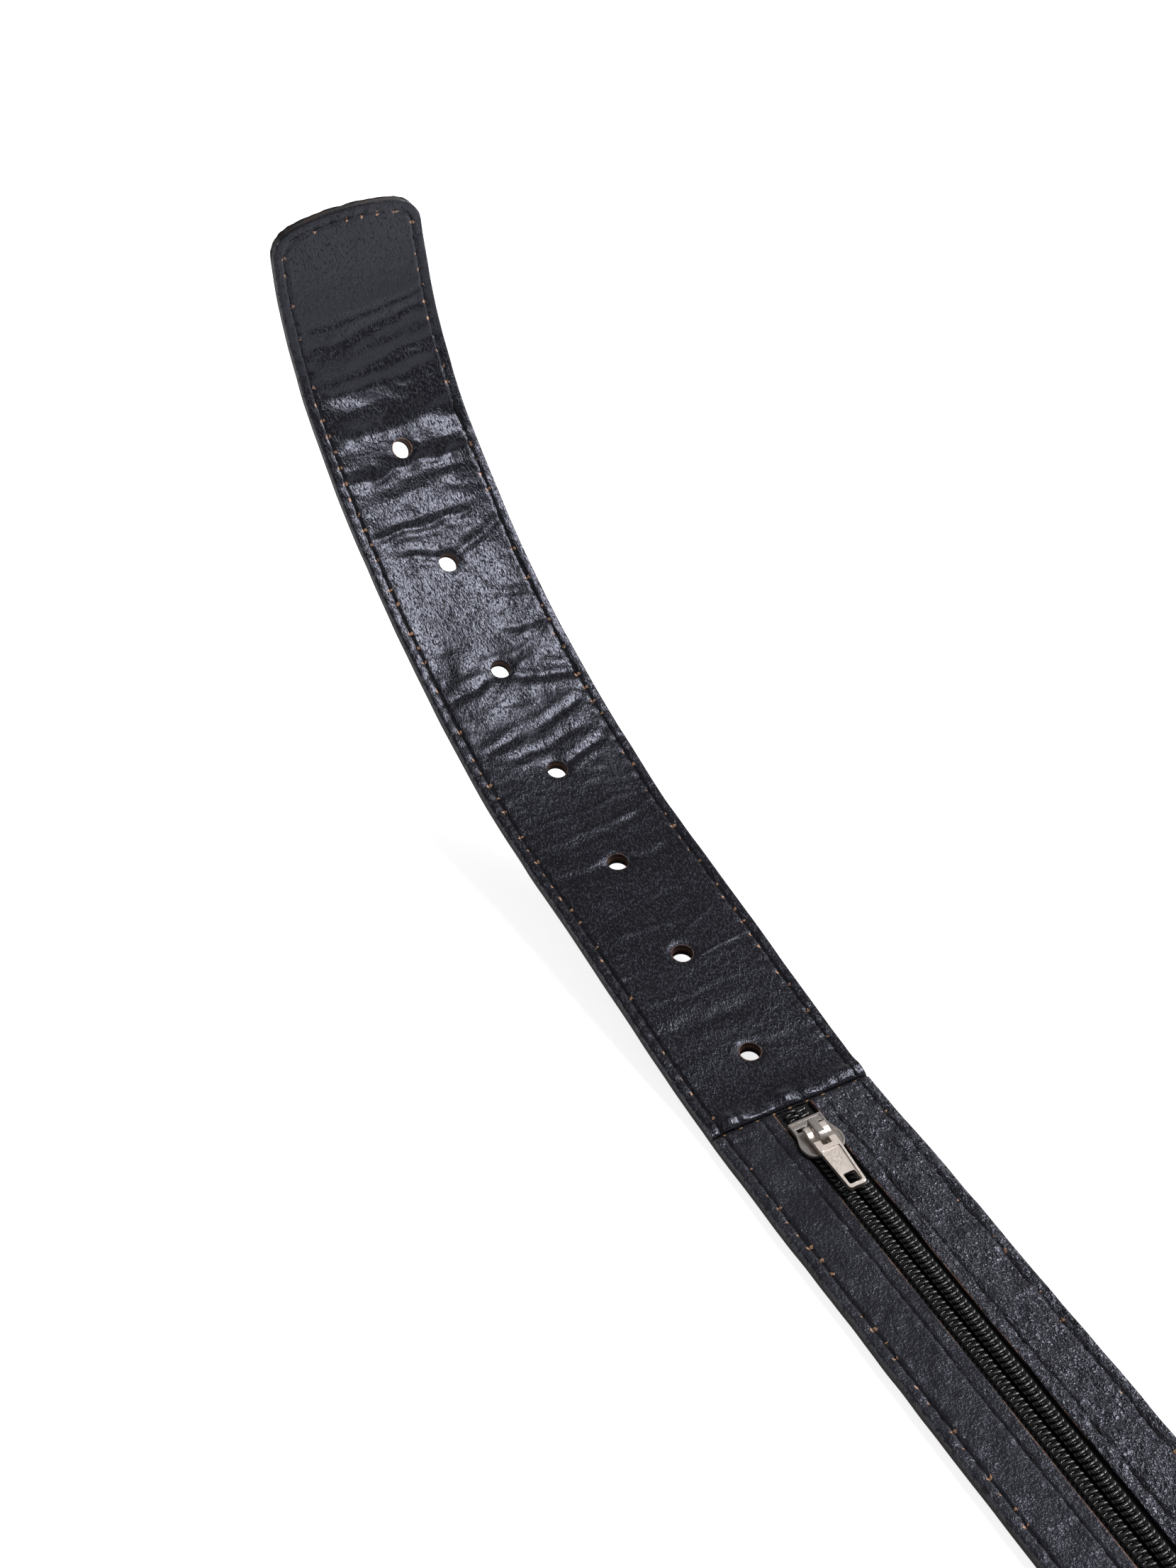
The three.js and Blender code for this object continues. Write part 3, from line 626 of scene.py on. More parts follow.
def waver(u, v):
    """Small drift of the sewn belt: its sides swing in and out along it, and the cross seams to and fro."""
    sewn = smooth(u, FAR_SEAM_U + 0.02, FAR_SEAM_U)
    side = np.sign(v) * (v / HALF) ** 2 * sewn
    own = np.sign(v) * 0.5
    swing = 0.00026 * noise(u, own, 0.019, 1, 71) + 0.0001 * noise(u, own, 0.006, 1, 73)
    near = bump(u - SEAM_U, 0.004) + bump(u - FAR_SEAM_U, 0.004)
    drift = 0.00035 * noise(v, 0 * v, 0.007, 1, 75) * near
    return u + drift, v + side * swing


def lay(thing, raw=None):
    """Bends a piece made flat in u, v and level along the belt, and keeps its flat place for materials."""
    flat = vertices(thing.data)
    u, v, level = flat.T
    place = on_belt(*waver(u, v), level)
    thing.data.vertices.foreach_set("co", place.astype(np.float32).ravel())
    thing.data.update()
    attribute(thing.data, "belt", flat)
    attribute(thing.data, "raw", np.zeros(len(u)) if raw is None else raw(u, v, level))
    return thing


# Relief of the leather

# Folds across the tongue: place on the centre line and lean, ends across the belt,
# depth and half width. A negative depth is a ridge. All in millimetres, and the lean is a slope.
FOLDS = (
    (25.5, -0.06, -15, 17, 0.16, 0.8), (29.5, -0.12, -15, 17, 0.20, 1.2),
    (38.0, -0.06, -16, 16, 0.20, 1.6), (43.2, 0.02, -16, 16, 0.30, 2.2),
    (54.0, 0.06, -14, 19, 0.42, 2.4), (64.3, -0.02, -19, 19, 0.34, 1.5),
    (70.5, -0.16, -12, 12, 0.12, 1.3), (79.2, -0.04, -16, 12, 0.30, 1.0),
    (87.6, 0.10, -12, 4, 0.18, 0.9), (88.6, -0.30, 2, 19, 0.22, 1.2), (98.5, 0.30, 5, 19, 0.20, 1.2),
    (109.5, 0.10, 4, 19, 0.26, 1.5), (122.5, 0.25, 1, 19, 0.32, 1.5),
    (120.5, -0.25, -16, -3, 0.24, 1.3), (137.5, -0.20, 0, 15, 0.20, 1.1),
    (137.0, -0.30, -14, -2, 0.16, 1.0), (143.0, -0.12, -10, 14, 0.13, 1.1),
    (150.5, -0.30, 2, 15, 0.20, 1.1), (163.0, 0.00, -16, 16, -0.06, 0.5),
    (168.5, -0.04, -14, 13, -0.08, 0.7), (171.0, -0.06, -12, 12, 0.07, 0.6),
    (180.5, 0.12, -16, 14, 0.16, 1.5), (200.8, 0.12, -12, 6, -0.07, 0.7),
    (206.5, -0.42, 4, 15, -0.09, 0.6), (213.0, -0.13, 0, 14, -0.06, 0.5),
    (220.3, 0.04, -16, 8, -0.06, 0.7), (229.0, 0.05, -14, 8, 0.10, 1.8),
)


def folds(u, v):
    """The tongue's folds: each a bell-shaped valley between low shoulders, faded at both of its ends."""
    u, v = u * 1000, v * 1000
    warp = 0.8 * noise(u, v, 17, 9, 3) + 0.5 * noise(u, v, 5, 4, 4)
    total = np.zeros(u.shape)
    for place, lean, start, end, depth, width in FOLDS:
        across = (u + warp - place - lean * v) / width
        shape = bump(across, 1) - 0.35 * bump(np.abs(across) - 2, 1)
        total -= depth * shape * smooth(v, start - 2, start + 4) * smooth(v, end + 2, end - 4)
    return total / 1000


def wrinkles(u, v):
    """Folds of the curled tongue with warped noise between them: swells stretched across the belt, round
    patches and fine crinkles, all fading towards the seam."""
    lean = u + 0.18 * v + 0.004 * noise(u, v, 0.021, 0.016, 3)
    strength = 0.25 + 0.75 * smooth(u, 0.165, 0.12)
    strength = strength * smooth(u, 0.012, 0.05)
    crease = -np.abs(noise(lean, v, 0.0125, 0.031, 11)) ** 0.8
    swell = noise(lean, v, 0.019, 0.05, 17)
    patch = noise(u + 0.003 * noise(u, v, 0.008, 0.007, 29), v, 0.0085, 0.0095, 31)
    fine = -np.abs(fractal(u + 0.0015 * noise(u, v, 0.006, 0.006, 5), v, 0.0036, 0.0062, 23, 2))
    relief = 0.00013 * crease + 0.00014 * swell + 0.00036 * patch
    return 1.25 * folds(u, v) + strength * relief + 0.00011 * fine * (0.5 + strength)


def edge_run(u, v):
    """Run along the edge row of stitches: across the belt at the tip's crown, along it elsewhere."""
    return np.where((u < TIP_BACK) & (np.abs(v) < HALF - TIP_CORNER), v, u)


def at_hole(run):
    """Share from 0 between needle holes to 1 at each of them."""
    return 0.5 + 0.5 * np.cos(2 * math.pi * run / STITCH)


def stitch_dips(distance, run):
    """A groove along a row of stitches, with a deeper pit at each needle hole and, between the holes, a
    low pillow on either side."""
    pit = at_hole(run) ** 6 * bump(distance, PIT_REACH)
    pillow = (1 - at_hole(run)) * bump(np.abs(distance) - PILLOW_PLACE, PILLOW_REACH)
    return -GROOVE_DEPTH * bump(distance, GROOVE_REACH) - PIT_DEPTH * pit + PILLOW_HEIGHT * pillow


def edge_round(distance, radius=EDGE_ROUND):
    """Drop of a rounded edge: a quarter circle of the given radius, and level past it."""
    short = np.clip(1 - distance / radius, 0, 1)
    return -radius * (1 - np.sqrt(1 - short ** 2))


def from_hole(u, v):
    """Distance outside the nearest punched hole."""
    return np.min([np.hypot(u - place, v) for place in HOLES_U], axis=0) - HOLE_RADIUS


def raw_rim(u, v):
    """Raw leather at the rim of each punched hole."""
    return bump(np.maximum(from_hole(u, v), 0), RAW_RIM)


def hole_dish(u, v):
    """Soft dished rim round each punched hole."""
    return -HOLE_DISH_DEPTH * bump(np.maximum(from_hole(u, v), 0), HOLE_DISH_REACH)


def seam_roll(back, v):
    """Turned edge at a cross seam: it swells, rolls down over its last stretch and puckers."""
    pucker = noise(back * 0.15, v, 0.003, 0.0015, 41)
    puff = 0.00050 + 0.00036 * noise(v, 0 * v, 0.0065, 1, 43)
    swell = puff * bump(back - 0.0026, 0.0020) + 0.00034 * pucker * bump(back - 0.0016, 0.0026)
    return swell + edge_round(np.maximum(back, 0), 0.00095)


def leather(name, u, v, low, high, relief, cuts=(), fine_top=True, row=None, raw=None):
    """Leather piece: a flat slab on the grid u, v, cut, given relief on its seen face and laid on the belt.
    The attribute rows keeps the distance to a row of stitches, the run along it and the edge distance."""
    points, faces = shell(u, v, fine_top)
    thing = new_object(name, points, faces)
    for outline in cuts:
        boolean(thing, plate(outline, -1, 2))
    flat = vertices(thing.data)
    u, v, share = flat.T
    if fine_top:
        level = low + (high - low) * share + share * relief(u, v)
    else:
        level = low + (high - low) * share - (1 - share) * relief(u, v)
    thing.data.vertices.foreach_set("co", np.stack([u, v, level], axis=1).astype(np.float32).ravel())
    lay(thing, raw and (lambda u, v, level: raw(u, v)))
    distance = np.full(u.shape, NO_ROW) if row is None else row(u, v)
    attribute(thing.data, "rows", np.stack([distance, edge_run(u, v), edge_distance(u, v)], axis=1))
    shade(thing, 45)
    return thing


def tongue_grid(end, step, near_u, fine_u, near_v, fine_v):
    """Grid of the tongue: rows follow the tip's outline and straighten behind it."""
    s = graded(0, end, step, fine_u, near_u, 0.0035)
    v = graded(-HALF, HALF, step, fine_v, [-HALF, HALF, *near_v], 0.0011)
    s, v = np.meshgrid(s, v, indexing="ij")
    return s + tip_outline(v) * (1 - smooth(s, 0, 3.2 * TIP_BACK)), v


EDGE_ROWS = (-(HALF - EDGE_INSET), HALF - EDGE_INSET)
HOLE_CUTS = [circle(HOLE_RADIUS, 40, (place, 0)) for place in HOLES_U]
BINDING_X = [centre(f"binding_post_{k}").x for k in (1, 2)]
BINDING_CUTS = [circle(BINDING_HOLE, 32, (u_at(x), 0)) for x in BINDING_X]


def edge_row(u, v):
    return edge_distance(u, v) - EDGE_INSET


def edge_row_to(stitch_end):
    """Distance to the edge row as a function, for a row that ends before the piece does."""
    return lambda u, v: np.where(u < stitch_end, edge_row(u, v), NO_ROW)


def tongue_lining():
    """Lining of the tongue, with its holes, its stitch groove and the rolled end at the cross seam."""
    end = SEAM_U - SEAM_HALF
    u, v = tongue_grid(end, 0.0006, [*HOLES_U, end], 0.00027, [*EDGE_ROWS, 0], 0.00025)

    def relief(u, v):
        edge = edge_distance(u, v)
        return (
            edge_round(edge)
            + stitch_dips(edge - EDGE_INSET, edge_run(u, v))
            + wrinkles(u, v) * smooth(edge, 0.0004, 0.004)
            + hole_dish(u, v)
            + seam_roll(end - u, v)
        )

    def raw(u, v):
        return np.maximum(raw_rim(u, v), 0.8 * bump(end - u, RAW_RIM) * at_hole(v))

    return leather(
        "tongue_lining_leather", u, v, LINING_LOW, LINING_TOP, relief, HOLE_CUTS, row=edge_row, raw=raw,
    )


def pocket_flap(hand, side):
    """Strip beside the zip, with its grooves, crinkled grain and a cut edge along the slot."""
    start, end = SEAM_U + SEAM_HALF, FAR_SEAM_U - SEAM_HALF
    s = graded(start, end, 0.0010, 0.0005, np.arange(start, start + 0.14, 0.004), 0.004)
    near = [SLOT_HALF, ZIP_ROW, HALF - EDGE_INSET, HALF]
    across = graded(SLOT_HALF, HALF, 0.0007, 0.00026, near, 0.0011)
    u, v = np.meshgrid(s, side * across, indexing="ij")
    if side < 0:
        u, v = u[:, ::-1], v[:, ::-1]
    swing = noise(u, 0 * v, 0.014, 1, 50 + side) + 0.5 * noise(u, 0 * v, 0.005, 1, 52 + side)
    v = v + 0.00012 * swing * smooth(np.abs(v), HALF, SLOT_HALF)
    amount = FLAP_CRINKLE[hand]

    def relief(u, v):
        reach = np.abs(v)
        edge = HALF - reach
        crinkle = fractal(u, v, 0.0042, 0.0036, 60 + side, 3)
        folded = -np.abs(noise(u + 0.5 * reach, v, 0.009, 0.005, 66 + side))
        plain = smooth(u - start, 0.0026, 0.0036) * smooth(reach - SLOT_HALF, 0.0008, 0.0022)
        return (
            edge_round(edge)
            + edge_round(reach - SLOT_HALF + 0.0001, 0.0004)
            + stitch_dips(edge - EDGE_INSET, u)
            + 0.8 * stitch_dips(reach - ZIP_ROW, u)
            + amount * (crinkle + 0.7 * folded) * plain * smooth(edge, 0.0003, 0.002)
            + edge_round(np.maximum(u - start, 0), 0.0005)
            + edge_round(np.maximum(end - u, 0), 0.0005)
            - 0.00012 * bump(u - start - 0.0031, 0.0005)
        )

    def row(u, v):
        edge, zipped = HALF - np.abs(v) - EDGE_INSET, np.abs(v) - ZIP_ROW
        return np.where(np.abs(edge) < np.abs(zipped), edge, zipped)

    def raw(u, v):
        corner = bump(u - start, 0.0016) + bump(u - end, 0.0016)
        worn = 0.75 + 0.25 * noise(u, 0 * v, 0.009, 1, 57 + side) + corner
        if side < 0:
            worn = worn + 0.2 * smooth(u, start + 0.05, start + 0.1)
        slot = bump(np.maximum(np.abs(v) - SLOT_HALF, 0), 0.00030) * np.clip(worn, 0, 1.2)
        seam = bump(np.maximum(u - start, 0), 0.00035) * at_hole(v) ** 3 * (np.abs(v) > ZIP_ROW)
        return np.maximum(slot, seam)

    return leather(
        f"pocket_flap_leather_{hand}", u, v, LINING_LOW, LINING_TOP, relief, row=row, raw=raw,
    )


def buckle_lining():
    """Lining from the second cross seam to the bar, with its rolled end and its groove."""
    start, end = FAR_SEAM_U + SEAM_HALF, u_at(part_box("buckle_end_lining")[1].x)
    s = graded(start, end, 0.0010, 0.0004, [start], 0.003)
    v = graded(-HALF, HALF, 0.0009, 0.00026, [-HALF, HALF, *EDGE_ROWS], 0.0011)
    u, v = np.meshgrid(s, v, indexing="ij")
    stitch_end = u_at(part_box("edge_thread_lining")[1].x)

    def relief(u, v):
        edge = HALF - np.abs(v)
        return (
            edge_round(edge)
            + stitch_dips(edge - EDGE_INSET, u) * smooth(u, stitch_end + 0.001, stitch_end)
            + 0.00012 * fractal(u, v, 0.006, 0.007, 80, 3) * smooth(edge, 0.0003, 0.003)
            + seam_roll(u - start, v)
            + edge_round(np.maximum(end - u, 0), 0.0004)
        )

    return leather(
        "buckle_end_lining_leather", u, v, LINING_LOW, LINING_TOP, relief, BINDING_CUTS,
        row=edge_row_to(stitch_end),
    )


def outer_strap():
    """Outer leather from the tip, round the bar and back, with its holes, prong slot and stitch groove."""
    fold = [BAR_U + FOLD_RADIUS * turn for turn in (0.5, 1.6, 2.7)]
    u, v = tongue_grid(END_U, 0.0014, [*HOLES_U, *fold], 0.0003, EDGE_ROWS, 0.0003)
    stitch_end = u_at(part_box("edge_thread_face")[1].x)
    slot_reach, slot_half = 0.013, PRONG_HALF + 0.0008
    past = BAR_U + FOLD_RADIUS * (math.pi + FOLD_DROP)
    slot = rectangle(u_at(BAR.x - slot_reach), past + slot_reach, -slot_half, slot_half)
    after = LINE["u"] > past
    back = [np.interp(-x, -LINE["x"][after], LINE["u"][after]) for x in BINDING_X]
    back_holes = [circle(BINDING_HOLE, 32, (place, 0)) for place in back]

    def relief(u, v):
        edge = edge_distance(u, v)
        return np.minimum(
            0,
            edge_round(edge, 0.0011)
            + edge_round(np.maximum(END_U - u, 0), 0.0009)
            + stitch_dips(edge - EDGE_INSET, edge_run(u, v)) * smooth(u, stitch_end + 0.001, stitch_end)
            + 0.4 * hole_dish(u, v)
            + 0.00005 * (fractal(u, v, 0.012, 0.011, 90, 3) - 0.5) * smooth(edge, 0.0003, 0.003),
        )

    cuts = [*HOLE_CUTS, rounded(slot, slot_half * 0.98, 8), *BINDING_CUTS, *back_holes]
    row = edge_row_to(stitch_end)
    return leather("outer_strap_leather", u, v, 0, OUTER_TOP, relief, cuts, False, row, raw_rim)


def filler():
    """Board between the leathers, cut away inside the pocket. Only its painted edge shows."""
    end = u_at(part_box("filler")[1].x)
    u, v = tongue_grid(end, 0.0028, HOLES_U, 0.0006, [], 0.0006)
    rim, overlap = 0.0045, 0.009
    window = rectangle(SEAM_U - overlap, FAR_SEAM_U + overlap, rim - HALF, HALF - rim)
    cuts = [*HOLE_CUTS, rounded(window, 0.002), *BINDING_CUTS]

    def flat(u, v):
        return 0 * u

    return leather("filler_board", u, v, FILLER_LOW, FILLER_TOP, flat, cuts, raw=raw_rim)


def keeper_loop():
    """Leather loop: a strip's section, with a crease by each edge, carried round a rounded rectangle."""
    low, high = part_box("keeper_loop")
    wide, thick = (high.x - low.x) / 2, KEEPER_THICK
    middle = rounded(rectangle(low.y, high.y, low.z, high.z), 0.0024, 8)
    sides = np.diff(middle, axis=0, append=middle[:1])
    steps = np.concatenate([[0], np.cumsum(np.linalg.norm(sides, axis=1))])
    run = np.linspace(0, steps[-1], 260, endpoint=False)
    closed = np.concatenate([middle, middle[:1]])
    outer = np.stack([np.interp(run, steps, column) for column in closed.T], axis=1)
    ahead = unit(np.roll(outer, -1, axis=0) - np.roll(outer, 1, axis=0))
    inward = np.stack([-ahead[:, 1], ahead[:, 0]], axis=1)
    across = np.linspace(-wide, wide, 49)
    edge = wide - np.abs(across)
    top = -edge_round(edge, 0.0005) + 0.00012 * bump(edge - 0.0016, 0.0003)
    under = thick + edge_round(edge, 0.0004)
    place = np.concatenate([across, across[::-1]])
    depth = np.concatenate([top, under[::-1]])
    run_grid, place_grid = np.meshgrid(run, place, indexing="ij")
    grain = 0.00003 * fractal(run_grid, place_grid, 0.006, 0.005, 95, 2)
    depth = depth[None] + np.maximum(grain, 0) * (depth[None] < thick / 2)
    points = np.stack([
        (low.x + high.x) / 2 + place[None] + 0 * depth,
        outer[:, None, 0] + inward[:, None, 0] * depth,
        outer[:, None, 1] + inward[:, None, 1] * depth,
    ], axis=-1)
    faces = grid_faces(len(run), len(place), closed_rows=True, closed_columns=True)
    thing = new_object("keeper_loop_leather", points.reshape(-1, 3), faces, 50)
    flat = np.stack(np.broadcast_arrays(run[:, None], place[None], depth), axis=-1).reshape(-1, 3)
    attribute(thing.data, "belt", flat)
    attribute(thing.data, "raw", np.zeros(len(flat)))
    away = wide - np.abs(flat[:, 1])
    attribute(thing.data, "rows", np.stack([np.full(len(flat), NO_ROW), flat[:, 0], away], axis=1))
    return thing


# Stitching

def row_thread(name, u, v, run, level, hole_level, width=THREAD_HALF, raw=None):
    """Row of stitches: a flattened thread along u, v that arches to a level between needle holes and
    dives to the hole level at each of them, with a slight lean from one side of its line to the other."""
    height = level + (hole_level - level) * at_hole(run) ** 5
    path = np.stack([u, v, height], axis=1)
    ahead = np.gradient(path[:, :2], axis=0)
    across = unit(np.stack([-ahead[:, 1], ahead[:, 0], 0 * u], axis=1))
    path = path + 0.00006 * np.sin(2 * math.pi * run / STITCH)[:, None] * across
    return lay(tube(name, path, across, width, 0.8 * width, 6), raw)


def stitch_steps(start, end):
    """Places eight to a stitch from start to end, on the rhythm of the needle holes."""
    step = STITCH / 8
    return step * np.arange(math.ceil(start / step), math.floor(end / step) + 1)


def edge_thread(name, node, level, hole_level):
    """Edge row: up the left side to the tip, round it and down the right side, inside the outline."""
    end = u_at(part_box(node)[1].x)
    inside = HALF - EDGE_INSET
    side_u = stitch_steps(TIP_BACK, end)
    tip_v = inside * np.sin(np.linspace(-math.pi / 2, math.pi / 2, 121))[1:-1]
    tip_u = tip_outline(tip_v, EDGE_INSET)
    u = np.concatenate([side_u[::-1], tip_u, side_u])
    v = np.concatenate([0 * side_u - inside, tip_v, 0 * side_u + inside])
    return row_thread(name, u, v, edge_run(u, v), level, hole_level)


def zip_thread(name, side, level, hole_level):
    u = stitch_steps(SEAM_U + EDGE_INSET, FAR_SEAM_U - EDGE_INSET)
    return row_thread(name, u, 0 * u + side * ZIP_ROW, u, level, hole_level)


def seam_thread(name, place):
    """Thread in a cross seam, with raw flecks of leather pulled up at its needle holes."""
    v = stitch_steps(-HALF + EDGE_INSET / 2, HALF - EDGE_INSET / 2)

    def raw(u, v, level):
        return at_hole(v) ** 2

    return row_thread(name, 0 * v + place, v, v, *SEAM_THREAD_LEVELS, SEAM_THREAD_HALF, raw)


# Zip

def open_share(u):
    """Share from 0, where the rows lie closed behind the parked slider, to 1, where they are open."""
    parked = SEAM_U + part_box("slider_body")[0].x - SEAM_X
    return smooth(u, parked, parked + 0.007)


def reaches(u, shut, opened):
    """Inner and outer reach of a row at u, between its closed and its open place."""
    share = open_share(u)
    return [closed + (parted - closed) * share for closed, parted in zip(shut, opened)]


def zip_tape(hand, side):
    """Woven tape under a flap, with a beaded inner edge that follows the row."""
    start, end = SEAM_U - TAPE_PAST_SEAM, FAR_SEAM_U + TAPE_PAST_SEAM
    s = graded(start, end, 0.004, 0.0008, [SEAM_U + 0.008], 0.006)
    share = graded(0, 1, 0.08, 0.015, [0], 0.05)
    u, share = np.meshgrid(s, share, indexing="ij")
    inner, outer = reaches(u, (0.00015, TAPE_HALF), (COIL_OPEN[0], TAPE_HALF))
    v = side * (inner + (outer - inner) * share)
    if side < 0:
        u, v = u[:, ::-1], v[:, ::-1]

    def relief(u, v):
        return 0.00004 * bump(np.abs(v) - COIL_OPEN[0], 0.0003)

    return leather(f"zip_tape_weave_{hand}", u, v, TAPE_LOW, TAPE_HIGH, relief)


def coil_row(hand, side):
    """Row of coil: a filament in flattened turns. Its path goes cosine out and in, flattened sine up and
    down, and moves on mostly at the outer end, so that each inner head lies square to the zip. The upper
    leg of each turn climbs towards its head."""
    turns = int((FAR_SEAM_U - SEAM_U - 2 * COIL_START) / COIL_PITCH)
    t = np.arange(turns * COIL_STEPS + 1) / COIL_STEPS
    angle = 2 * math.pi * t
    shift = 0.5 * COIL_PITCH * (side > 0)
    u = SEAM_U + COIL_START + shift + COIL_PITCH * (t + np.sin(angle) / (2 * math.pi))
    inner, outer = reaches(u, COIL_SHUT, COIL_OPEN)
    out, up = np.cos(angle), np.sin(angle)
    out = np.sign(out) * np.abs(out) ** 0.8
    up = np.sign(up) * np.abs(up) ** 0.6
    v = side * ((inner + outer) / 2 + ((outer - inner) / 2 - FILAMENT) * out)
    level = (COIL_LOW + COIL_HIGH) / 2 + ((COIL_HIGH - COIL_LOW) / 2 - FILAMENT) * up
    level = level - COIL_LEAN * out * np.maximum(up, 0)
    path = np.stack([u, v, level], axis=1)
    return lay(tube(f"zip_coil_turns_{hand}", path, np.array([1.0, 0, 0]), FILAMENT_HALF, FILAMENT, 8))


def coil_sewing(hand, side):
    """Two lines of sewing on a row: each thread goes up over every turn and down between turns."""
    u = np.arange(SEAM_U + 0.001, FAR_SEAM_U - 0.001, COIL_PITCH / 6)
    inner, outer = reaches(u, COIL_SHUT, COIL_OPEN)
    shift = 0.5 * COIL_PITCH * (side > 0)
    beat = 2 * math.pi * ((u - SEAM_U - COIL_START - shift) / COIL_PITCH - 0.37)
    level = COIL_HIGH - 0.00016 + 0.00014 * np.cos(beat)
    threads = []
    for share in (0.34, 0.68):
        v = side * (inner + (outer - inner) * share) + 0.00004 * np.cos(beat / 2)
        path = np.stack([u, v, level - COIL_LEAN * (2 * share - 1)], axis=1)
        threads.append(tube("sewing", path, np.array([0, 1.0, 0]), SEWING_HALF, SEWING_HALF, 6))
    return lay(joined(f"zip_coil_sewing_{hand}", threads))


# Zip slider and its pull tab

SLIDER_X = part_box("slider_body")[0].x
SLIDER_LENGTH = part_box("slider_body")[1].x - SLIDER_X
HINGE = Vector(JOINTS["pull_hinge"]["pos_m"])


def curve(points, steps=8):
    """Bezier curve through its first control point, and up to but without its last one."""
    t = np.linspace(0, 1, steps, endpoint=False)[:, None]
    order = len(points) - 1
    return sum(
        math.comb(order, k) * t ** k * (1 - t) ** (order - k) * np.array(point, float)
        for k, point in enumerate(points)
    )


def slider_plan():
    """Bell-shaped plan of the slider's plates: flat mouth, waist, two lobes and a notched nose."""
    length, rear, waist, lobe = SLIDER_LENGTH, SLIDER_REAR, SLIDER_WAIST, SLIDER_LOBE
    corner, nose = 0.8 * lobe, 0.5 * lobe
    right = np.concatenate([
        curve([(0, rear), (0.13 * length, waist), (0.26 * length, waist)]),
        curve([
            (0.26 * length, waist), (0.41 * length, waist),
            (0.54 * length, lobe), (0.68 * length, lobe),
        ]),
        curve([(0.68 * length, lobe), (0.85 * length, lobe), (length, corner), (length, nose)], 10),
        curve([(length, nose), (0.97 * length, nose / 2), (0.97 * length, 0)], 4),
    ])
    middle = np.array([(0.97 * length, 0)])
    return np.concatenate([right * [1, -1], middle, right[::-1]])


def slider_body():
    """Slider casting: two plates, flanges, the post between the rows, and the bridge. The top plate has
    a raised rim round a dished floor, a lip across it near its mouth and two slots beside the bridge."""
    plan = slider_plan()
    body = plate(plan, PLATE_LOW, PLATE_HIGH, "slider_casting")
    dish = plate(inset(plan, SLIDER_RIM), PLATE_HIGH - SLIDER_DISH, PLATE_HIGH + 0.001)
    boolean(dish, plate(rectangle(*SLIDER_LIP, -0.006, 0.006), 0, 0.01))
    boolean(body, dish)
    soften(body, 0.00011, 3)
    for side in (-1, 1):
        slot = rectangle(*SLIDER_SLOT, *sorted(side * reach for reach in SLIDER_SLOT_REACH))
        boolean(body, plate(slot, PLATE_LOW - 0.0002, PLATE_HIGH + 0.001))
    base = plate(plan, BASE_LOW, BASE_HIGH)
    soften(base, 0.0001)
    join(body, base)
    for side in (-1, 1):
        reach = sorted((side * FLANGE_IN, side * (FLANGE_IN + FLANGE_THICK)))
        join(body, plate(rectangle(0, FLANGE_LENGTH, *reach), TAPE_HIGH + 0.0002, PLATE_LOW + 0.0004))
    post = rounded(rectangle(*SLIDER_POST, -SLIDER_POST_HALF, SLIDER_POST_HALF), 0.0003)
    join(body, plate(post, BASE_HIGH - 0.0003, PLATE_LOW + 0.0004))
    foot = PLATE_HIGH - 0.0004
    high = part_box("slider_body")[1].z
    rear, front, thick = BRIDGE_REAR, BRIDGE_REAR + BRIDGE_LENGTH, BRIDGE_THICK
    arch = rounded(
        [
            (rear, foot), (rear + thick, foot), (rear + thick, high - thick),
            (front - 2.1 * thick, high - thick), (front - thick, foot), (front, foot),
            (front - thick, high - 0.6 * thick), (front - 2 * thick, high), (rear, high),
        ],
        [0, 0, 0.0002, 0.0003, 0, 0, 0.0006, 0.0008, 0.0004], 3,
    )
    bridge = side_plate(arch, BRIDGE_HALF)
    soften(bridge, 0.00016, 3, 50)
    join(body, bridge)
    return settle(body, Matrix.Translation((SLIDER_X, 0, 0)))


def slider_pull():
    """Pull tab, drawn flat with its hinge at the origin: two arms with round knuckles on a cross bar,
    a dip behind them, then a framed panel whose rim runs round the hole at the end."""
    low, high = -PULL_THICK / 2, PULL_THICK / 2
    end = PULL_LENGTH - PULL_THICK / 2
    outline = rounded(
        [
            (0, -PULL_HEAD), (PULL_WINDOW, -PULL_HEAD), (end, -PULL_END), (end, PULL_END),
            (PULL_WINDOW, PULL_HEAD), (0, PULL_HEAD),
        ],
        [0, 0.004, 0.0007, 0.0007, 0.004, 0],
    )
    pull = plate(outline, low, high, "pull_tab")
    join(pull, side_plate(circle(PULL_THICK / 2, 24), PULL_HEAD))
    dip_x, dip_level = PULL_DIP_PLACE
    boolean(pull, side_plate(circle(PULL_DIP, 60, (dip_x, high + dip_level)), 0.004))
    window = rectangle(PULL_THICK / 2, PULL_WINDOW - 0.0006, -BRIDGE_HALF - 0.0002, BRIDGE_HALF + 0.0002)
    boolean(pull, plate(rounded(window, 0.0003), low - 0.001, high + 0.001))
    rim, hole_end = PULL_RIM, end - PULL_WALL
    panel = rounded(
        [
            (PULL_WINDOW + rim, rim - PULL_HEAD), (hole_end, rim - PULL_END), (hole_end, PULL_END - rim),
            (PULL_WINDOW + rim, PULL_HEAD - rim),
        ],
        0.0004,
    )
    boolean(pull, plate(panel, high - 0.0003, high + 0.001))
    hole_half = PULL_END - 0.00065
    hole = rectangle(hole_end - PULL_HOLE, hole_end - 0.0001, -hole_half, hole_half)
    boolean(pull, plate(rounded(hole, 0.0004), low - 0.001, high + 0.001))
    soften(pull, 0.00022, 4, 35)
    return settle(pull, Matrix.Translation(HINGE) @ Matrix.Rotation(PULL_TILT, 4, "Y"))


# Buckle

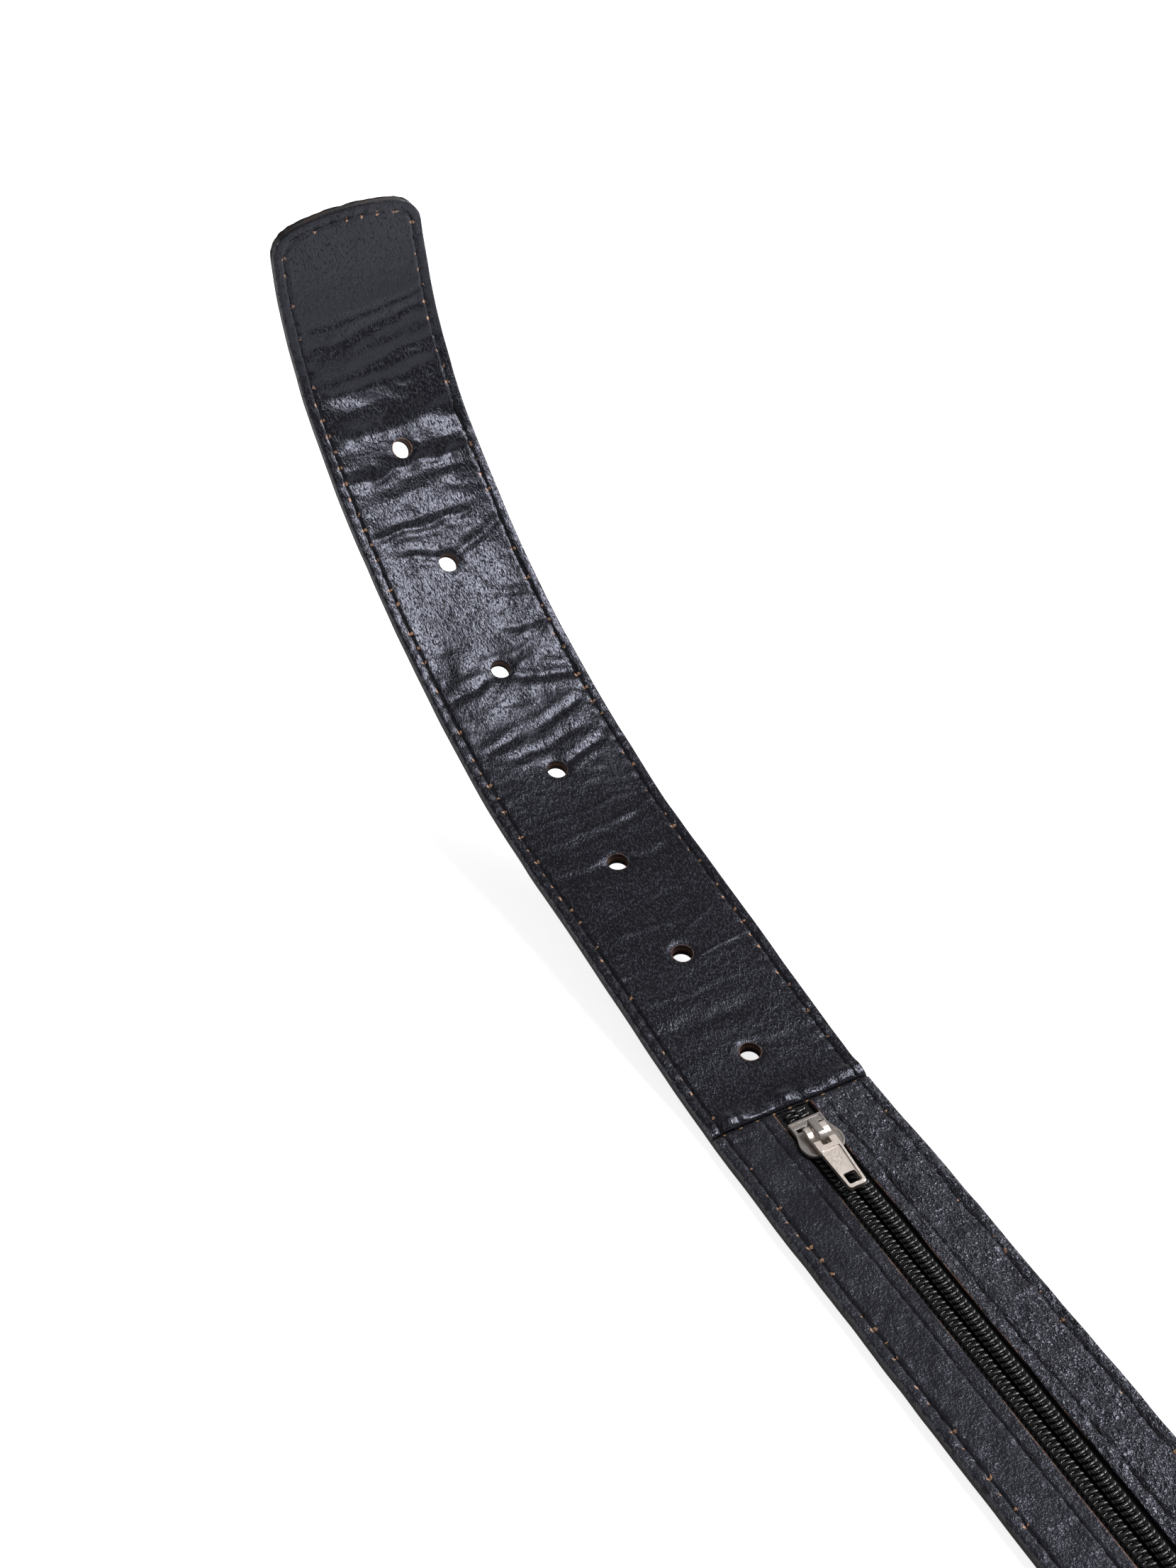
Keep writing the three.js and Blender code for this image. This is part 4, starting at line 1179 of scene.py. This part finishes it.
PRONG_TOP = -FRAME_THICK / 2 - BAR_PLAY
PRONG_END = FRAME_REACH + FRAME_FRONT + PRONG_OVERHANG
BUCKLE_TILT = math.asin((BAR.z - FLOOR_GAP + PRONG_TOP - PRONG_THICK) / PRONG_END)
BUCKLE_PLACE = Matrix.Translation(BAR) @ Matrix.Rotation(BUCKLE_TILT, 4, "Y")
BAR_HALF = FRAME_INNER + FRAME_RAIL - SOCKET_SKIN - BAR_PLAY


def buckle_frame():
    """Frame: a U-shaped outline with quarter-round edges, and a blind socket for the bar in each rail."""
    half, front = FRAME_INNER + FRAME_RAIL, FRAME_REACH + FRAME_FRONT
    outline = rounded(
        [
            (-FRAME_HEEL, -half), (front, -half), (front, half), (-FRAME_HEEL, half),
            (-FRAME_HEEL, FRAME_INNER), (FRAME_REACH, FRAME_INNER),
            (FRAME_REACH, -FRAME_INNER), (-FRAME_HEEL, -FRAME_INNER),
        ],
        [FRAME_INNER_CORNER, FRAME_CORNER, FRAME_CORNER, *[FRAME_INNER_CORNER] * 5], 10,
    )
    steps = round_edges(-FRAME_THICK / 2, FRAME_THICK / 2, FRAME_ROUND, 6)
    thing = stacked("buckle_frame_casting", outline, steps)
    boolean(thing, side_plate(circle(BAR_RADIUS + BAR_PLAY, 32), BAR_HALF + BAR_PLAY))
    return settle(thing, BUCKLE_PLACE)


def buckle_bar():
    """Round bar with rounded ends."""
    bar = stacked("buckle_bar_rod", circle(BAR_RADIUS, 48), round_edges(-BAR_HALF, BAR_HALF, 0.0004, 3))
    return moved(bar, BUCKLE_PLACE @ UPRIGHT)


def buckle_prong():
    """Prong: the side outline of its eye and shank, as wide as the prong, with rounded edges."""
    turn = np.linspace(math.atan2(-0.00137, 0.00333), 1.5 * math.pi, 44)
    eye = PRONG_EYE * np.stack([np.cos(turn), np.sin(turn)], axis=1)
    nose = PRONG_THICK / 2
    under = PRONG_TOP - PRONG_THICK
    tip = np.array([PRONG_END - nose, PRONG_TOP - nose])
    round_tip = tip + nose * np.roll(circle(1, 24), 6, axis=0)[:13]
    outline = np.concatenate([eye, [(FRAME_REACH, under)], round_tip, [(FRAME_REACH - nose, PRONG_TOP)]])
    steps = round_edges(-PRONG_HALF, PRONG_HALF, 0.0007, 4)
    thing = moved(stacked("buckle_prong_casting", outline, steps, 30), UPRIGHT)
    boolean(thing, side_plate(circle(FOLD_RADIUS, 40), PRONG_HALF + 0.001))
    return settle(thing, BUCKLE_PLACE)


# Binding posts and screws

def domed(radius, low, high, flat, steps=5):
    """Insets and levels of a head that is flat below and domed above, down to a small flat."""
    turn = np.linspace(0, 1, steps + 1)[1:]
    rise = high - low
    edge = 0.35 * rise
    dome = [(flat * t, low + edge + (rise - edge) * math.sqrt(1 - (1 - t) ** 2)) for t in turn]
    return [(0, low + 0.2 * edge), (0, low + edge), *dome, (radius * 0.92, high)]


def binding_post(number, x):
    """Post: a domed head under the strap and a barrel with a bore for the screw."""
    low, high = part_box(f"binding_post_{number}")
    down = [(reach, -level) for reach, level in domed(BINDING_HEAD, 0, HEAD_RISE, HEAD_FLAT)[::-1]]
    steps = [*down, (0.0002, 0), (0.0006, 0)]
    head = stacked(f"binding_post_turned_{number}", circle(BINDING_HEAD, 48), steps)
    join(head, plate(circle(BINDING_BARREL, 32), -0.0004, high.z - low.z - HEAD_RISE))
    boolean(head, plate(circle(SCREW_SHANK + 0.0003, 24), 0.0005, 0.01))
    return settle(head, Matrix.Translation((x, 0, low.z + HEAD_RISE)))


def binding_screw(number, x):
    """Screw: a domed head with one slot, and its shank in the post."""
    low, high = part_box(f"binding_screw_{number}")
    head_low = high.z - HEAD_RISE
    steps = [
        (BINDING_HEAD - SCREW_SHANK, head_low), (0.0002, head_low),
        *domed(BINDING_HEAD, head_low, high.z, HEAD_FLAT),
    ]
    screw = stacked(f"binding_screw_turned_{number}", circle(BINDING_HEAD, 48), steps)
    join(screw, plate(circle(SCREW_SHANK, 24), low.z, head_low + 0.0003))
    slot = rectangle(-SCREW_SLOT / 2, SCREW_SLOT / 2, -0.006, 0.006)
    boolean(screw, plate(slot, high.z - SCREW_SLOT_DEPTH, high.z + 0.001))
    soften(screw, 0.00008, 2, 40)
    return settle(screw, Matrix.Translation((x, 0, 0)))


# Materials: a small helper for node trees, groups for effects that several finishes share, and finishes

class Net:
    """Node tree whose nodes are added by kind, with values or links for their sockets."""

    def __init__(self, tree):
        self.tree = tree

    def add(self, kind, inputs=None, result=0, **settings):
        node = self.tree.nodes.new("ShaderNode" + kind)
        for key, value in settings.items():
            setattr(node, key, value)
        for key, value in (inputs or {}).items():
            self.put(node.inputs[key], value)
        return node.outputs[result]

    def put(self, socket, value):
        if isinstance(value, bpy.types.NodeSocket):
            self.tree.links.new(value, socket)
        else:
            socket.default_value = value

    def math(self, operation, a, b=0.0, clamp=False):
        return self.add("Math", {0: a, 1: b}, operation=operation, use_clamp=clamp)

    def times(self, a, b, clamp=False):
        return self.math("MULTIPLY", a, b, clamp)

    def plus(self, a, b):
        return self.math("ADD", a, b)

    def minus(self, a, b):
        return self.math("SUBTRACT", a, b)

    def absolute(self, a):
        return self.math("ABSOLUTE", a)

    def larger(self, a, b):
        return self.math("MAXIMUM", a, b)

    def span(self, value, low, high):
        """Smooth step from 0 at low to 1 at high."""
        inputs = {"Value": value, "From Min": low, "From Max": high}
        return self.add("MapRange", inputs, interpolation_type="SMOOTHSTEP")

    def scale(self, value, low, high):
        """Value from 0 to 1 spread from low to high."""
        return self.add("MapRange", {"Value": value, "To Min": low, "To Max": high})

    def blend(self, share, a, b):
        """Colour a at share 0 and b at share 1."""
        colours = [(*c, 1) if isinstance(c, tuple) and len(c) == 3 else c for c in (a, b)]
        return self.add("Mix", {0: share, 6: colours[0], 7: colours[1]}, 2, data_type="RGBA")

    def noise(self, vector, scale, detail=2.0, rough=0.5):
        inputs = {"Vector": vector, "Scale": scale, "Detail": detail, "Roughness": rough}
        return self.add("TexNoise", inputs)

    def stretch(self, vector, scale):
        return self.add("VectorMath", {0: vector, 1: scale}, operation="MULTIPLY")

    def split(self, vector):
        node = self.tree.nodes.new("ShaderNodeSeparateXYZ")
        self.put(node.inputs[0], vector)
        return node.outputs

    def group(self, tree, inputs):
        node = self.tree.nodes.new("ShaderNodeGroup")
        node.node_tree = tree
        for key, value in inputs.items():
            self.put(node.inputs[key], value)
        return node.outputs

    def attribute(self, name, result=1):
        return self.add("Attribute", result=result, attribute_name=name)

    def millimetres(self, name):
        """A place that the mesh keeps in metres."""
        return self.stretch(self.attribute(name), MM)

    def give(self, sockets, **values):
        """Links several results to the sockets of the same names."""
        for label, value in values.items():
            self.put(sockets[label], value)


def shader_group(name, inputs, outputs):
    """Empty shader node group with its sockets: the tree's net, its inputs and its outputs."""
    tree = bpy.data.node_groups.new(name, "ShaderNodeTree")
    for label, kind, value in inputs:
        socket = tree.interface.new_socket(label, in_out="INPUT", socket_type="NodeSocket" + kind)
        if value is not None:
            socket.default_value = value
    for label, kind in outputs:
        tree.interface.new_socket(label, in_out="OUTPUT", socket_type="NodeSocket" + kind)
    entry, leave = tree.nodes.new("NodeGroupInput"), tree.nodes.new("NodeGroupOutput")
    return tree, Net(tree), entry.outputs, leave.inputs


def hide_group():
    """Grain of pebbled hide on a place in millimetres: pebbles are the cells of warped Voronoi noise, flat
    on top and each leaning its own way, between fine valleys. They are stretched by Stretch and lie on
    crinkles of folded noise. Crest is 1 on their tops."""
    tree, net, given, result = shader_group(
        "hide",
        [("Place", "Vector", None), ("Stretch", "Vector", (1, 1, 1)), ("Pebble", "Float", 0.06),
         ("Lean", "Float", 1.5), ("Crinkle", "Float", 0.1)],
        [("Height", "Float"), ("Crest", "Float"), ("Patch", "Float")],
    )
    warp = net.add("TexNoise", {"Vector": given["Place"], "Scale": 0.7, "Detail": 2.0}, 1)
    warp = net.add("VectorMath", {0: warp, 1: (0.5, 0.5, 0.5)}, operation="SUBTRACT")
    shifted = {0: warp, 1: (0.9, 0.9, 0.9), 2: given["Place"]}
    place = net.add("VectorMath", shifted, operation="MULTIPLY_ADD")
    place = net.stretch(place, given["Stretch"])
    cells = {"Vector": place, "Scale": 1.0, "Smoothness": 0.35}
    cell = net.add("TexVoronoi", cells, feature="SMOOTH_F1").node
    pebble = net.span(cell.outputs["Distance"], 0.80, 0.52)
    lean = net.add("VectorMath", {0: cell.outputs["Color"], 1: (0.5, 0.5, 0.5)}, operation="SUBTRACT")
    away = net.add("VectorMath", {0: place, 1: cell.outputs["Position"]}, operation="SUBTRACT")
    lean = net.add("VectorMath", {0: away, 1: lean}, "Value", operation="DOT_PRODUCT")
    crest = net.plus(pebble, net.times(lean, given["Lean"]))
    fine = net.noise(place, 3.2, 2.0, 0.6)
    crinkle = net.noise(net.stretch(given["Place"], (0.45, 0.62, 1)), 1.0, 3.0, 0.62)
    crinkle = net.absolute(net.minus(crinkle, 0.5))
    crinkle = net.minus(net.math("POWER", net.times(crinkle, 4.0), 0.6), 1.0)
    patch = net.span(net.noise(given["Place"], 0.12, 3.0, 0.6), 0.38, 0.62)
    height = net.times(net.plus(crest, net.times(fine, 0.4)), given["Pebble"])
    height = net.plus(height, net.times(crinkle, given["Crinkle"]))
    height = net.times(height, net.scale(patch, 0.7, 1.25))
    crest = net.times(pebble, net.span(fine, 0.24, 0.46))
    net.give(result, Height=height, Crest=crest, Patch=patch)
    return tree


def fleck_group():
    """Raw flecks beside needle holes: a spot on either side of the row at a share of the holes, found
    from the distance to the row and the run along it, with ragged outlines."""
    tree, net, given, result = shader_group(
        "needle_flecks",
        [("Rows", "Vector", None), ("Place", "Vector", None), ("Share", "Float", 0.5)],
        [("Mask", "Float")],
    )
    distance, run, _ = net.split(given["Rows"])
    beat = net.math("DIVIDE", run, STITCH * 1000)
    count = net.math("ROUND", beat)
    along = net.times(net.minus(beat, count), STITCH * 1000)
    side = net.math("SIGN", distance)
    off = net.minus(net.absolute(distance), 0.34)
    ragged = net.minus(net.noise(given["Place"], 2.6, 2.0), 0.5)
    along = net.math("POWER", net.absolute(along), 2.0)
    off = net.math("POWER", net.absolute(off), 2.0)
    reach = net.math("SQRT", net.plus(along, net.times(off, 1.6)))
    reach = net.plus(reach, net.times(ragged, 1.5))
    hand = net.math("SIGN", net.split(given["Place"])[1])
    key = net.add("CombineXYZ", {0: count, 1: side, 2: hand})
    luck = net.add("TexWhiteNoise", {"Vector": key})
    chosen = net.math("LESS_THAN", luck, given["Share"])
    reach = net.plus(reach, net.times(net.math("DIVIDE", luck, given["Share"]), 0.22))
    spot = net.span(reach, 0.52, 0.30)
    net.put(result["Mask"], net.times(spot, chosen))
    return tree


def patina_group():
    """Worn plating on a place in millimetres: cloudy patches, dark specks and fine scratches."""
    tree, net, given, result = shader_group(
        "patina",
        [("Place", "Vector", None), ("Wear", "Float", 0.5)],
        [("Cloud", "Float"), ("Speck", "Float"), ("Height", "Float")],
    )
    cloud = net.span(net.noise(given["Place"], 0.9, 4.0, 0.65), 0.35, 0.7)
    speck = net.noise(given["Place"], 6.0, 3.0, 0.7)
    edge = net.scale(given["Wear"], 0.75, 0.5)
    speck = net.times(net.minus(speck, edge), 8.0, True)
    scratch = net.noise(net.stretch(given["Place"], (0.8, 9.0, 9.0)), 1.6, 2.0, 0.6)
    height = net.plus(net.times(scratch, 0.6), net.noise(given["Place"], 3.5, 3.0, 0.6))
    net.give(result, Cloud=cloud, Speck=speck, Height=height)
    return tree


HIDE, FLECKS, PATINA = hide_group(), fleck_group(), patina_group()


def finish(name, metallic=0.0):
    """New material: its net and its shader's inputs."""
    material = bpy.data.materials.new(name)
    material.use_nodes = True
    shader = material.node_tree.nodes["Principled BSDF"]
    shader.inputs["Metallic"].default_value = metallic
    return material, Net(material.node_tree), shader.inputs


def coat(net, shader, colour, roughness, height):
    """Gives a shader its colour, its roughness and the bumps of a height in millimetres."""
    net.put(shader["Base Color"], colour)
    net.put(shader["Roughness"], roughness)
    net.put(shader["Normal"], net.add("Bump", {"Strength": 1.0, "Distance": 0.001, "Height": height}))


def leather_finish(name, dark, worn, rough, valley, stretch, pebble, lean, crinkle, flecks, gloss):
    """Leather: hide grain with paler, polished crests (paler partly from wear, partly as painted sheen) and
    valleys as rough as valley, painted edges, stitch grooves darkened as painted shade, raw cuts whose
    walls are painted dark below a tan rim as shade, and flecks."""
    material, net, shader = finish(name)
    place = net.millimetres("belt")
    rows = net.millimetres("rows")
    hide = net.group(
        HIDE, {"Place": place, "Stretch": stretch, "Pebble": pebble, "Lean": lean, "Crinkle": crinkle},
    )
    distance, _, edge = net.split(rows)
    painted = net.span(edge, 0.22, 0.04)
    # Paler crests: partly rubbed wear and partly a painted sheen on the grain's tops
    rubbed_and_sheen = net.times(hide["Crest"], net.scale(hide["Patch"], 0.35, 1.0))
    colour = net.blend(rubbed_and_sheen, dark, worn)
    colour = net.blend(painted, colour, EDGE_PAINT)
    # Painted shade: the colour darkens along each stitch groove, where shade falls in it
    groove = net.span(net.absolute(distance), 0.30, 0.12)
    colour = net.blend(net.times(groove, 0.5), colour, PAINTED_GROOVE_SHADE)
    speckle = net.noise(place, 1.9, 3.0, 0.65)
    raw = net.plus(net.attribute("raw", 2), net.times(net.minus(speckle, 0.5), 0.9))
    raw = net.span(raw, 0.62, 0.78)
    # Painted shade: raw walls of holes and cut edges keep a tan rim at the top and are dark below it, where
    # shade falls inside them
    level = net.split(place)[2]
    top = net.times(net.span(level, 3.2, 3.5), net.span(speckle, 0.30, 0.60))
    colour = net.blend(raw, colour, net.blend(top, DARK_TAN_AND_WALL_SHADE, RAW_TAN))
    share = net.scale(net.span(edge, 8.0, 10.0), flecks, 0.0)
    fleck = net.group(FLECKS, {"Rows": rows, "Place": place, "Share": share})["Mask"]
    colour = net.blend(fleck, colour, FLECK_TAN)
    polish = net.scale(hide["Patch"], rough + 0.06, rough - 0.04)
    dry = net.add("Mix", {0: hide["Crest"], 2: valley, 3: polish})
    height = net.times(hide["Height"], net.minus(1.0, painted))
    coat(net, shader, colour, net.larger(dry, net.times(raw, 0.85)), height)
    shader["Specular IOR Level"].default_value = gloss
    shader["Specular Tint"].default_value = SHEEN_TINT
    return material


def board_finish():
    """Filler: raw tan board under black edge paint that has worn off in dashes along both of its faces."""
    material, net, shader = finish("filler_edge_paint")
    place = net.millimetres("belt")
    middle, half = (FILLER_LOW + FILLER_TOP) * 500, (FILLER_TOP - FILLER_LOW) * 500
    away = net.absolute(net.minus(net.split(place)[2], middle))
    line = net.span(away, half - 0.22, half - 0.05)
    dash = net.span(net.noise(net.stretch(place, (0.35, 0.35, 1.2)), 1.0, 4.0, 0.7), 0.47, 0.60)
    raw = net.larger(net.times(line, dash), net.span(net.attribute("raw", 2), 0.5, 0.8))
    grain = net.noise(net.stretch(place, (0.6, 2.0, 5.0)), 1.5, 3.0, 0.6)
    colour = net.blend(raw, BOARD_PAINT, net.blend(grain, DARK_TAN_AND_WALL_SHADE, RAW_TAN))
    coat(net, shader, colour, net.scale(raw, 0.42, 0.9), net.times(grain, 0.12))
    return material


def thread_finish(name, twist, raw_share):
    """Twisted thread: a slanting ply over its length, black, with tan fluff where leather is pulled up."""
    material, net, shader = finish(name)
    place = net.millimetres("belt")
    wave = {"Vector": place, "Scale": twist, "Distortion": 0.6}
    ply = net.add("TexWave", wave, 1, bands_direction="DIAGONAL")
    fluff = net.noise(place, 2.2, 3.0, 0.7)
    raw = net.plus(net.attribute("raw", 2), net.minus(fluff, 0.5))
    raw = net.times(net.span(raw, 0.80, 0.95), raw_share)
    black = net.blend(ply, *THREAD_BLACKS)
    shader["Specular IOR Level"].default_value = 0.15
    colour = net.blend(raw, black, FLUFF_TAN)
    coat(net, shader, colour, net.scale(ply, 0.75, 0.55), net.times(ply, 0.05))
    return material


def nylon_finish():
    """Coil: dark glossy nylon, scuffed on its outer ends."""
    material, net, shader = finish("coil_nylon")
    place = net.millimetres("belt")
    scuff = net.noise(place, 1.7, 3.0, 0.65)
    worn = net.times(net.span(net.absolute(net.split(place)[1]), 2.6, 3.3), net.span(scuff, 0.4, 0.6))
    colour = net.blend(worn, NYLON_BLACK, NYLON_SCUFF)
    coat(net, shader, colour, net.scale(scuff, 0.16, 0.36), net.times(scuff, 0.03))
    shader["Specular IOR Level"].default_value = 0.9
    return material


def tape_finish():
    """Woven tape: crossing ribs of warp and weft, black and dull."""
    material, net, shader = finish("tape_weave")
    place = net.millimetres("belt")
    warp = net.add("TexWave", {"Vector": place, "Scale": 0.9}, 1, bands_direction="X")
    weft = net.add("TexWave", {"Vector": place, "Scale": 0.7}, 1, bands_direction="Y")
    weave = net.times(warp, weft)
    lint = net.noise(place, 3.0, 3.0, 0.7)
    colour = net.blend(net.times(weave, lint), NYLON_BLACK, TAPE_LINT)
    coat(net, shader, colour, net.scale(lint, 0.8, 0.95), net.times(weave, 0.12))
    return material


def nickel_finish(name, clean, cloudy, rough, wear):
    """Nickel plate: warm grey clouds, dark specks and fine scratches."""
    material, net, shader = finish(name, 1.0)
    place = net.stretch(net.add("TexCoord", result=3), MM)
    patina = net.group(PATINA, {"Place": place, "Wear": wear})
    colour = net.blend(patina["Cloud"], clean, cloudy)
    colour = net.blend(patina["Speck"], colour, tuple(0.35 * c for c in cloudy))
    dull = net.scale(patina["Cloud"], rough, rough + 0.1)
    roughness = net.plus(dull, net.scale(patina["Speck"], 0.0, 0.2))
    coat(net, shader, colour, roughness, net.times(patina["Height"], 0.03))
    return material


# Camera, lights and floor

def camera():
    """Camera at the photograph's view: place, direction and lens from the calibrated view."""
    place, ahead, up = Vector(CAMERA_PLACE), Vector(CAMERA_AHEAD), Vector(CAMERA_UP)
    right = ahead.cross(up).normalized()
    up = right.cross(ahead).normalized()
    data = bpy.data.cameras.new("camera")
    data.sensor_fit = "VERTICAL"
    data.sensor_height = SENSOR_HEIGHT
    data.lens = CAMERA_LENS
    data.clip_start = 0.01
    thing = bpy.data.objects.new("camera", data)
    bpy.context.scene.collection.objects.link(thing)
    turn = Matrix((right, up, -ahead.normalized())).transposed()
    thing.matrix_world = Matrix.Translation(place) @ turn.to_4x4()
    bpy.context.scene.camera = thing


def softbox(name, place, target, width, height, power):
    """Rectangular area light aimed at a target, its width level."""
    data = bpy.data.lights.new(name, "AREA")
    data.shape = "RECTANGLE"
    data.size = width
    data.size_y = height
    data.energy = power
    thing = bpy.data.objects.new(name, data)
    bpy.context.scene.collection.objects.link(thing)
    thing.location = place
    thing.rotation_euler = (Vector(target) - Vector(place)).to_track_quat("-Z", "Y").to_euler()


def studio():
    """Two softboxes, a sky that is a white backdrop all round under a dim ceiling, and a floor that is
    white for camera, mirror and glass rays and keeps a faint shadow."""
    world = bpy.data.worlds.new("studio")
    bpy.context.scene.world = world
    world.use_nodes = True
    net = Net(world.node_tree)
    height = net.split(net.add("TexCoord"))[2]
    backdrop = world.node_tree.nodes["Background"].inputs
    backdrop["Color"].default_value = (1, 1, 1, 1)
    net.put(backdrop["Strength"], net.scale(net.span(height, 0.36, 0.16), CEILING, 1.0))
    softbox("key", (-0.24, 0.57, 1.02), (-0.38, 0, 0.04), 0.55, 0.4, KEY_POWER)
    softbox("side", (-0.30, 1.05, 0.60), (-0.33, 0, 0), 0.5, 0.4, SIDE_POWER)

    square = rectangle(-FLOOR_HALF, FLOOR_HALF, -FLOOR_HALF, FLOOR_HALF)
    corners = np.column_stack([square, np.full(4, -FLOOR_DROP)])
    floor = new_object("floor", corners, [[0, 1, 2, 3]])
    material, net, shader = finish("floor_paper")
    path = material.node_tree.nodes.new("ShaderNodeLightPath").outputs
    seen = net.larger(path["Is Glossy Ray"], path["Is Transmission Ray"])
    seen = net.larger(path["Is Camera Ray"], seen)
    net.put(shader["Base Color"], net.blend(seen, (0.7, 0.7, 0.7), (1.0, 1.0, 1.0)))
    shader["Roughness"].default_value = 1.0
    shader["Specular IOR Level"].default_value = 0.0
    shader["Emission Color"].default_value = (1, 1, 1, 1)
    net.put(shader["Emission Strength"], net.scale(path["Is Camera Ray"], 0.0, GLOW))
    material.cycles.emission_sampling = "NONE"
    floor.data.materials.append(material)


# Assembly: each piece with its body, the nodes it stands for, its slot and its finish

# Each leather's second colour is that of its paler crests: partly rubbed wear, partly painted sheen
FINISHES = {
    "lining": leather_finish(
        "tongue_lining_hide", (0.003, 0.003, 0.004), (0.008, 0.008, 0.011), 0.12, 0.80, (1.2, 2.9, 1.0),
        0.026, 1.8, 0.035, 0.42, 0.60,
    ),
    "left_flap": leather_finish(
        "left_flap_hide", (0.006, 0.006, 0.008), (0.020, 0.020, 0.027), 0.20, 0.8, (1.5, 1.8, 1.0),
        0.042, 2.8, 0.08, 0.4, 0.42,
    ),
    "right_flap": leather_finish(
        "right_flap_hide", (0.003, 0.003, 0.004), (0.010, 0.010, 0.015), 0.11, 0.8, (1.3, 1.7, 1.0),
        0.050, 6.0, 0.19, 0.15, 0.70,
    ),
    "outer": leather_finish(
        "outer_strap_hide", (0.005, 0.005, 0.006), (0.011, 0.011, 0.013), 0.28, 0.42, (1.3, 1.3, 1.0),
        0.04, 1.5, 0.05, 0.05, 0.40,
    ),
    "board": board_finish(),
    "thread": thread_finish("stitching_thread", 1.6, 0.0),
    "seam": thread_finish("seam_thread_fluff", 1.6, 1.0),
    "sewing": thread_finish("coil_sewing_thread", 3.0, 0.0),
    "nylon": nylon_finish(),
    "tape": tape_finish(),
    "casting": nickel_finish("slider_nickel", (0.66, 0.61, 0.57), (0.46, 0.43, 0.405), 0.30, 0.8),
    "pull": nickel_finish("pull_nickel", (0.82, 0.73, 0.665), (0.70, 0.62, 0.565), 0.32, 0.45),
    "buckle": nickel_finish("buckle_nickel", (0.70, 0.65, 0.61), (0.56, 0.52, 0.485), 0.30, 0.35),
}


def show(piece, body, nodes, finish):
    """Rides a piece on its body, hides the nodes it stands for and gives it its slot and finish."""
    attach(piece, body)
    if nodes:
        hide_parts(*nodes)
    piece.data.materials.clear()
    piece.data.materials.append(FINISHES[finish])


show(tongue_lining(), "strap", ["tongue_lining"], "lining")
show(buckle_lining(), "strap", ["buckle_end_lining"], "lining")
show(outer_strap(), "strap", ["outer_strap"], "outer")
show(filler(), "strap", ["filler"], "board")
show(keeper_loop(), "strap", ["keeper_loop"], "outer")
for hand, side in (("left", -1), ("right", 1)):
    show(pocket_flap(hand, side), "strap", [f"pocket_flap_{hand}"], f"{hand}_flap")
    show(zip_tape(hand, side), "strap", [f"zip_tape_{hand}"], "tape")
    show(coil_row(hand, side), "strap", [f"zip_coil_{hand}"], "nylon")
    show(coil_sewing(hand, side), "strap", [], "sewing")
    for kind, levels in (("", THREAD_LEVELS), ("bobbin_", BOBBIN_LEVELS)):
        thread = zip_thread(f"zip_{kind}stitching_{hand}", side, *levels)
        show(thread, "strap", [f"zip_{kind}thread_{hand}"], "thread")
for face, levels in (("lining", THREAD_LEVELS), ("face", FACE_THREAD_LEVELS)):
    node = f"edge_thread_{face}"
    show(edge_thread(f"edge_stitching_{face}", node, *levels), "strap", [node], "thread")
for end, place in (("tongue", SEAM_U), ("buckle", FAR_SEAM_U)):
    thread = seam_thread(f"seam_stitching_{end}", place)
    show(thread, "strap", [f"seam_thread_{end}"], "seam")
show(slider_body(), "slider", ["slider_body"], "casting")
show(slider_pull(), "pull", ["slider_pull"], "pull")
show(buckle_frame(), "buckle", ["buckle_frame"], "buckle")
show(buckle_bar(), "buckle", ["buckle_bar"], "buckle")
show(buckle_prong(), "prong", ["buckle_prong"], "buckle")
for number, x in enumerate(BINDING_X, 1):
    show(binding_post(number, x), "strap", [f"binding_post_{number}"], "buckle")
    show(binding_screw(number, x), "strap", [f"binding_screw_{number}"], "buckle")

camera()
studio()
bpy.context.scene.view_settings.view_transform = "Standard"
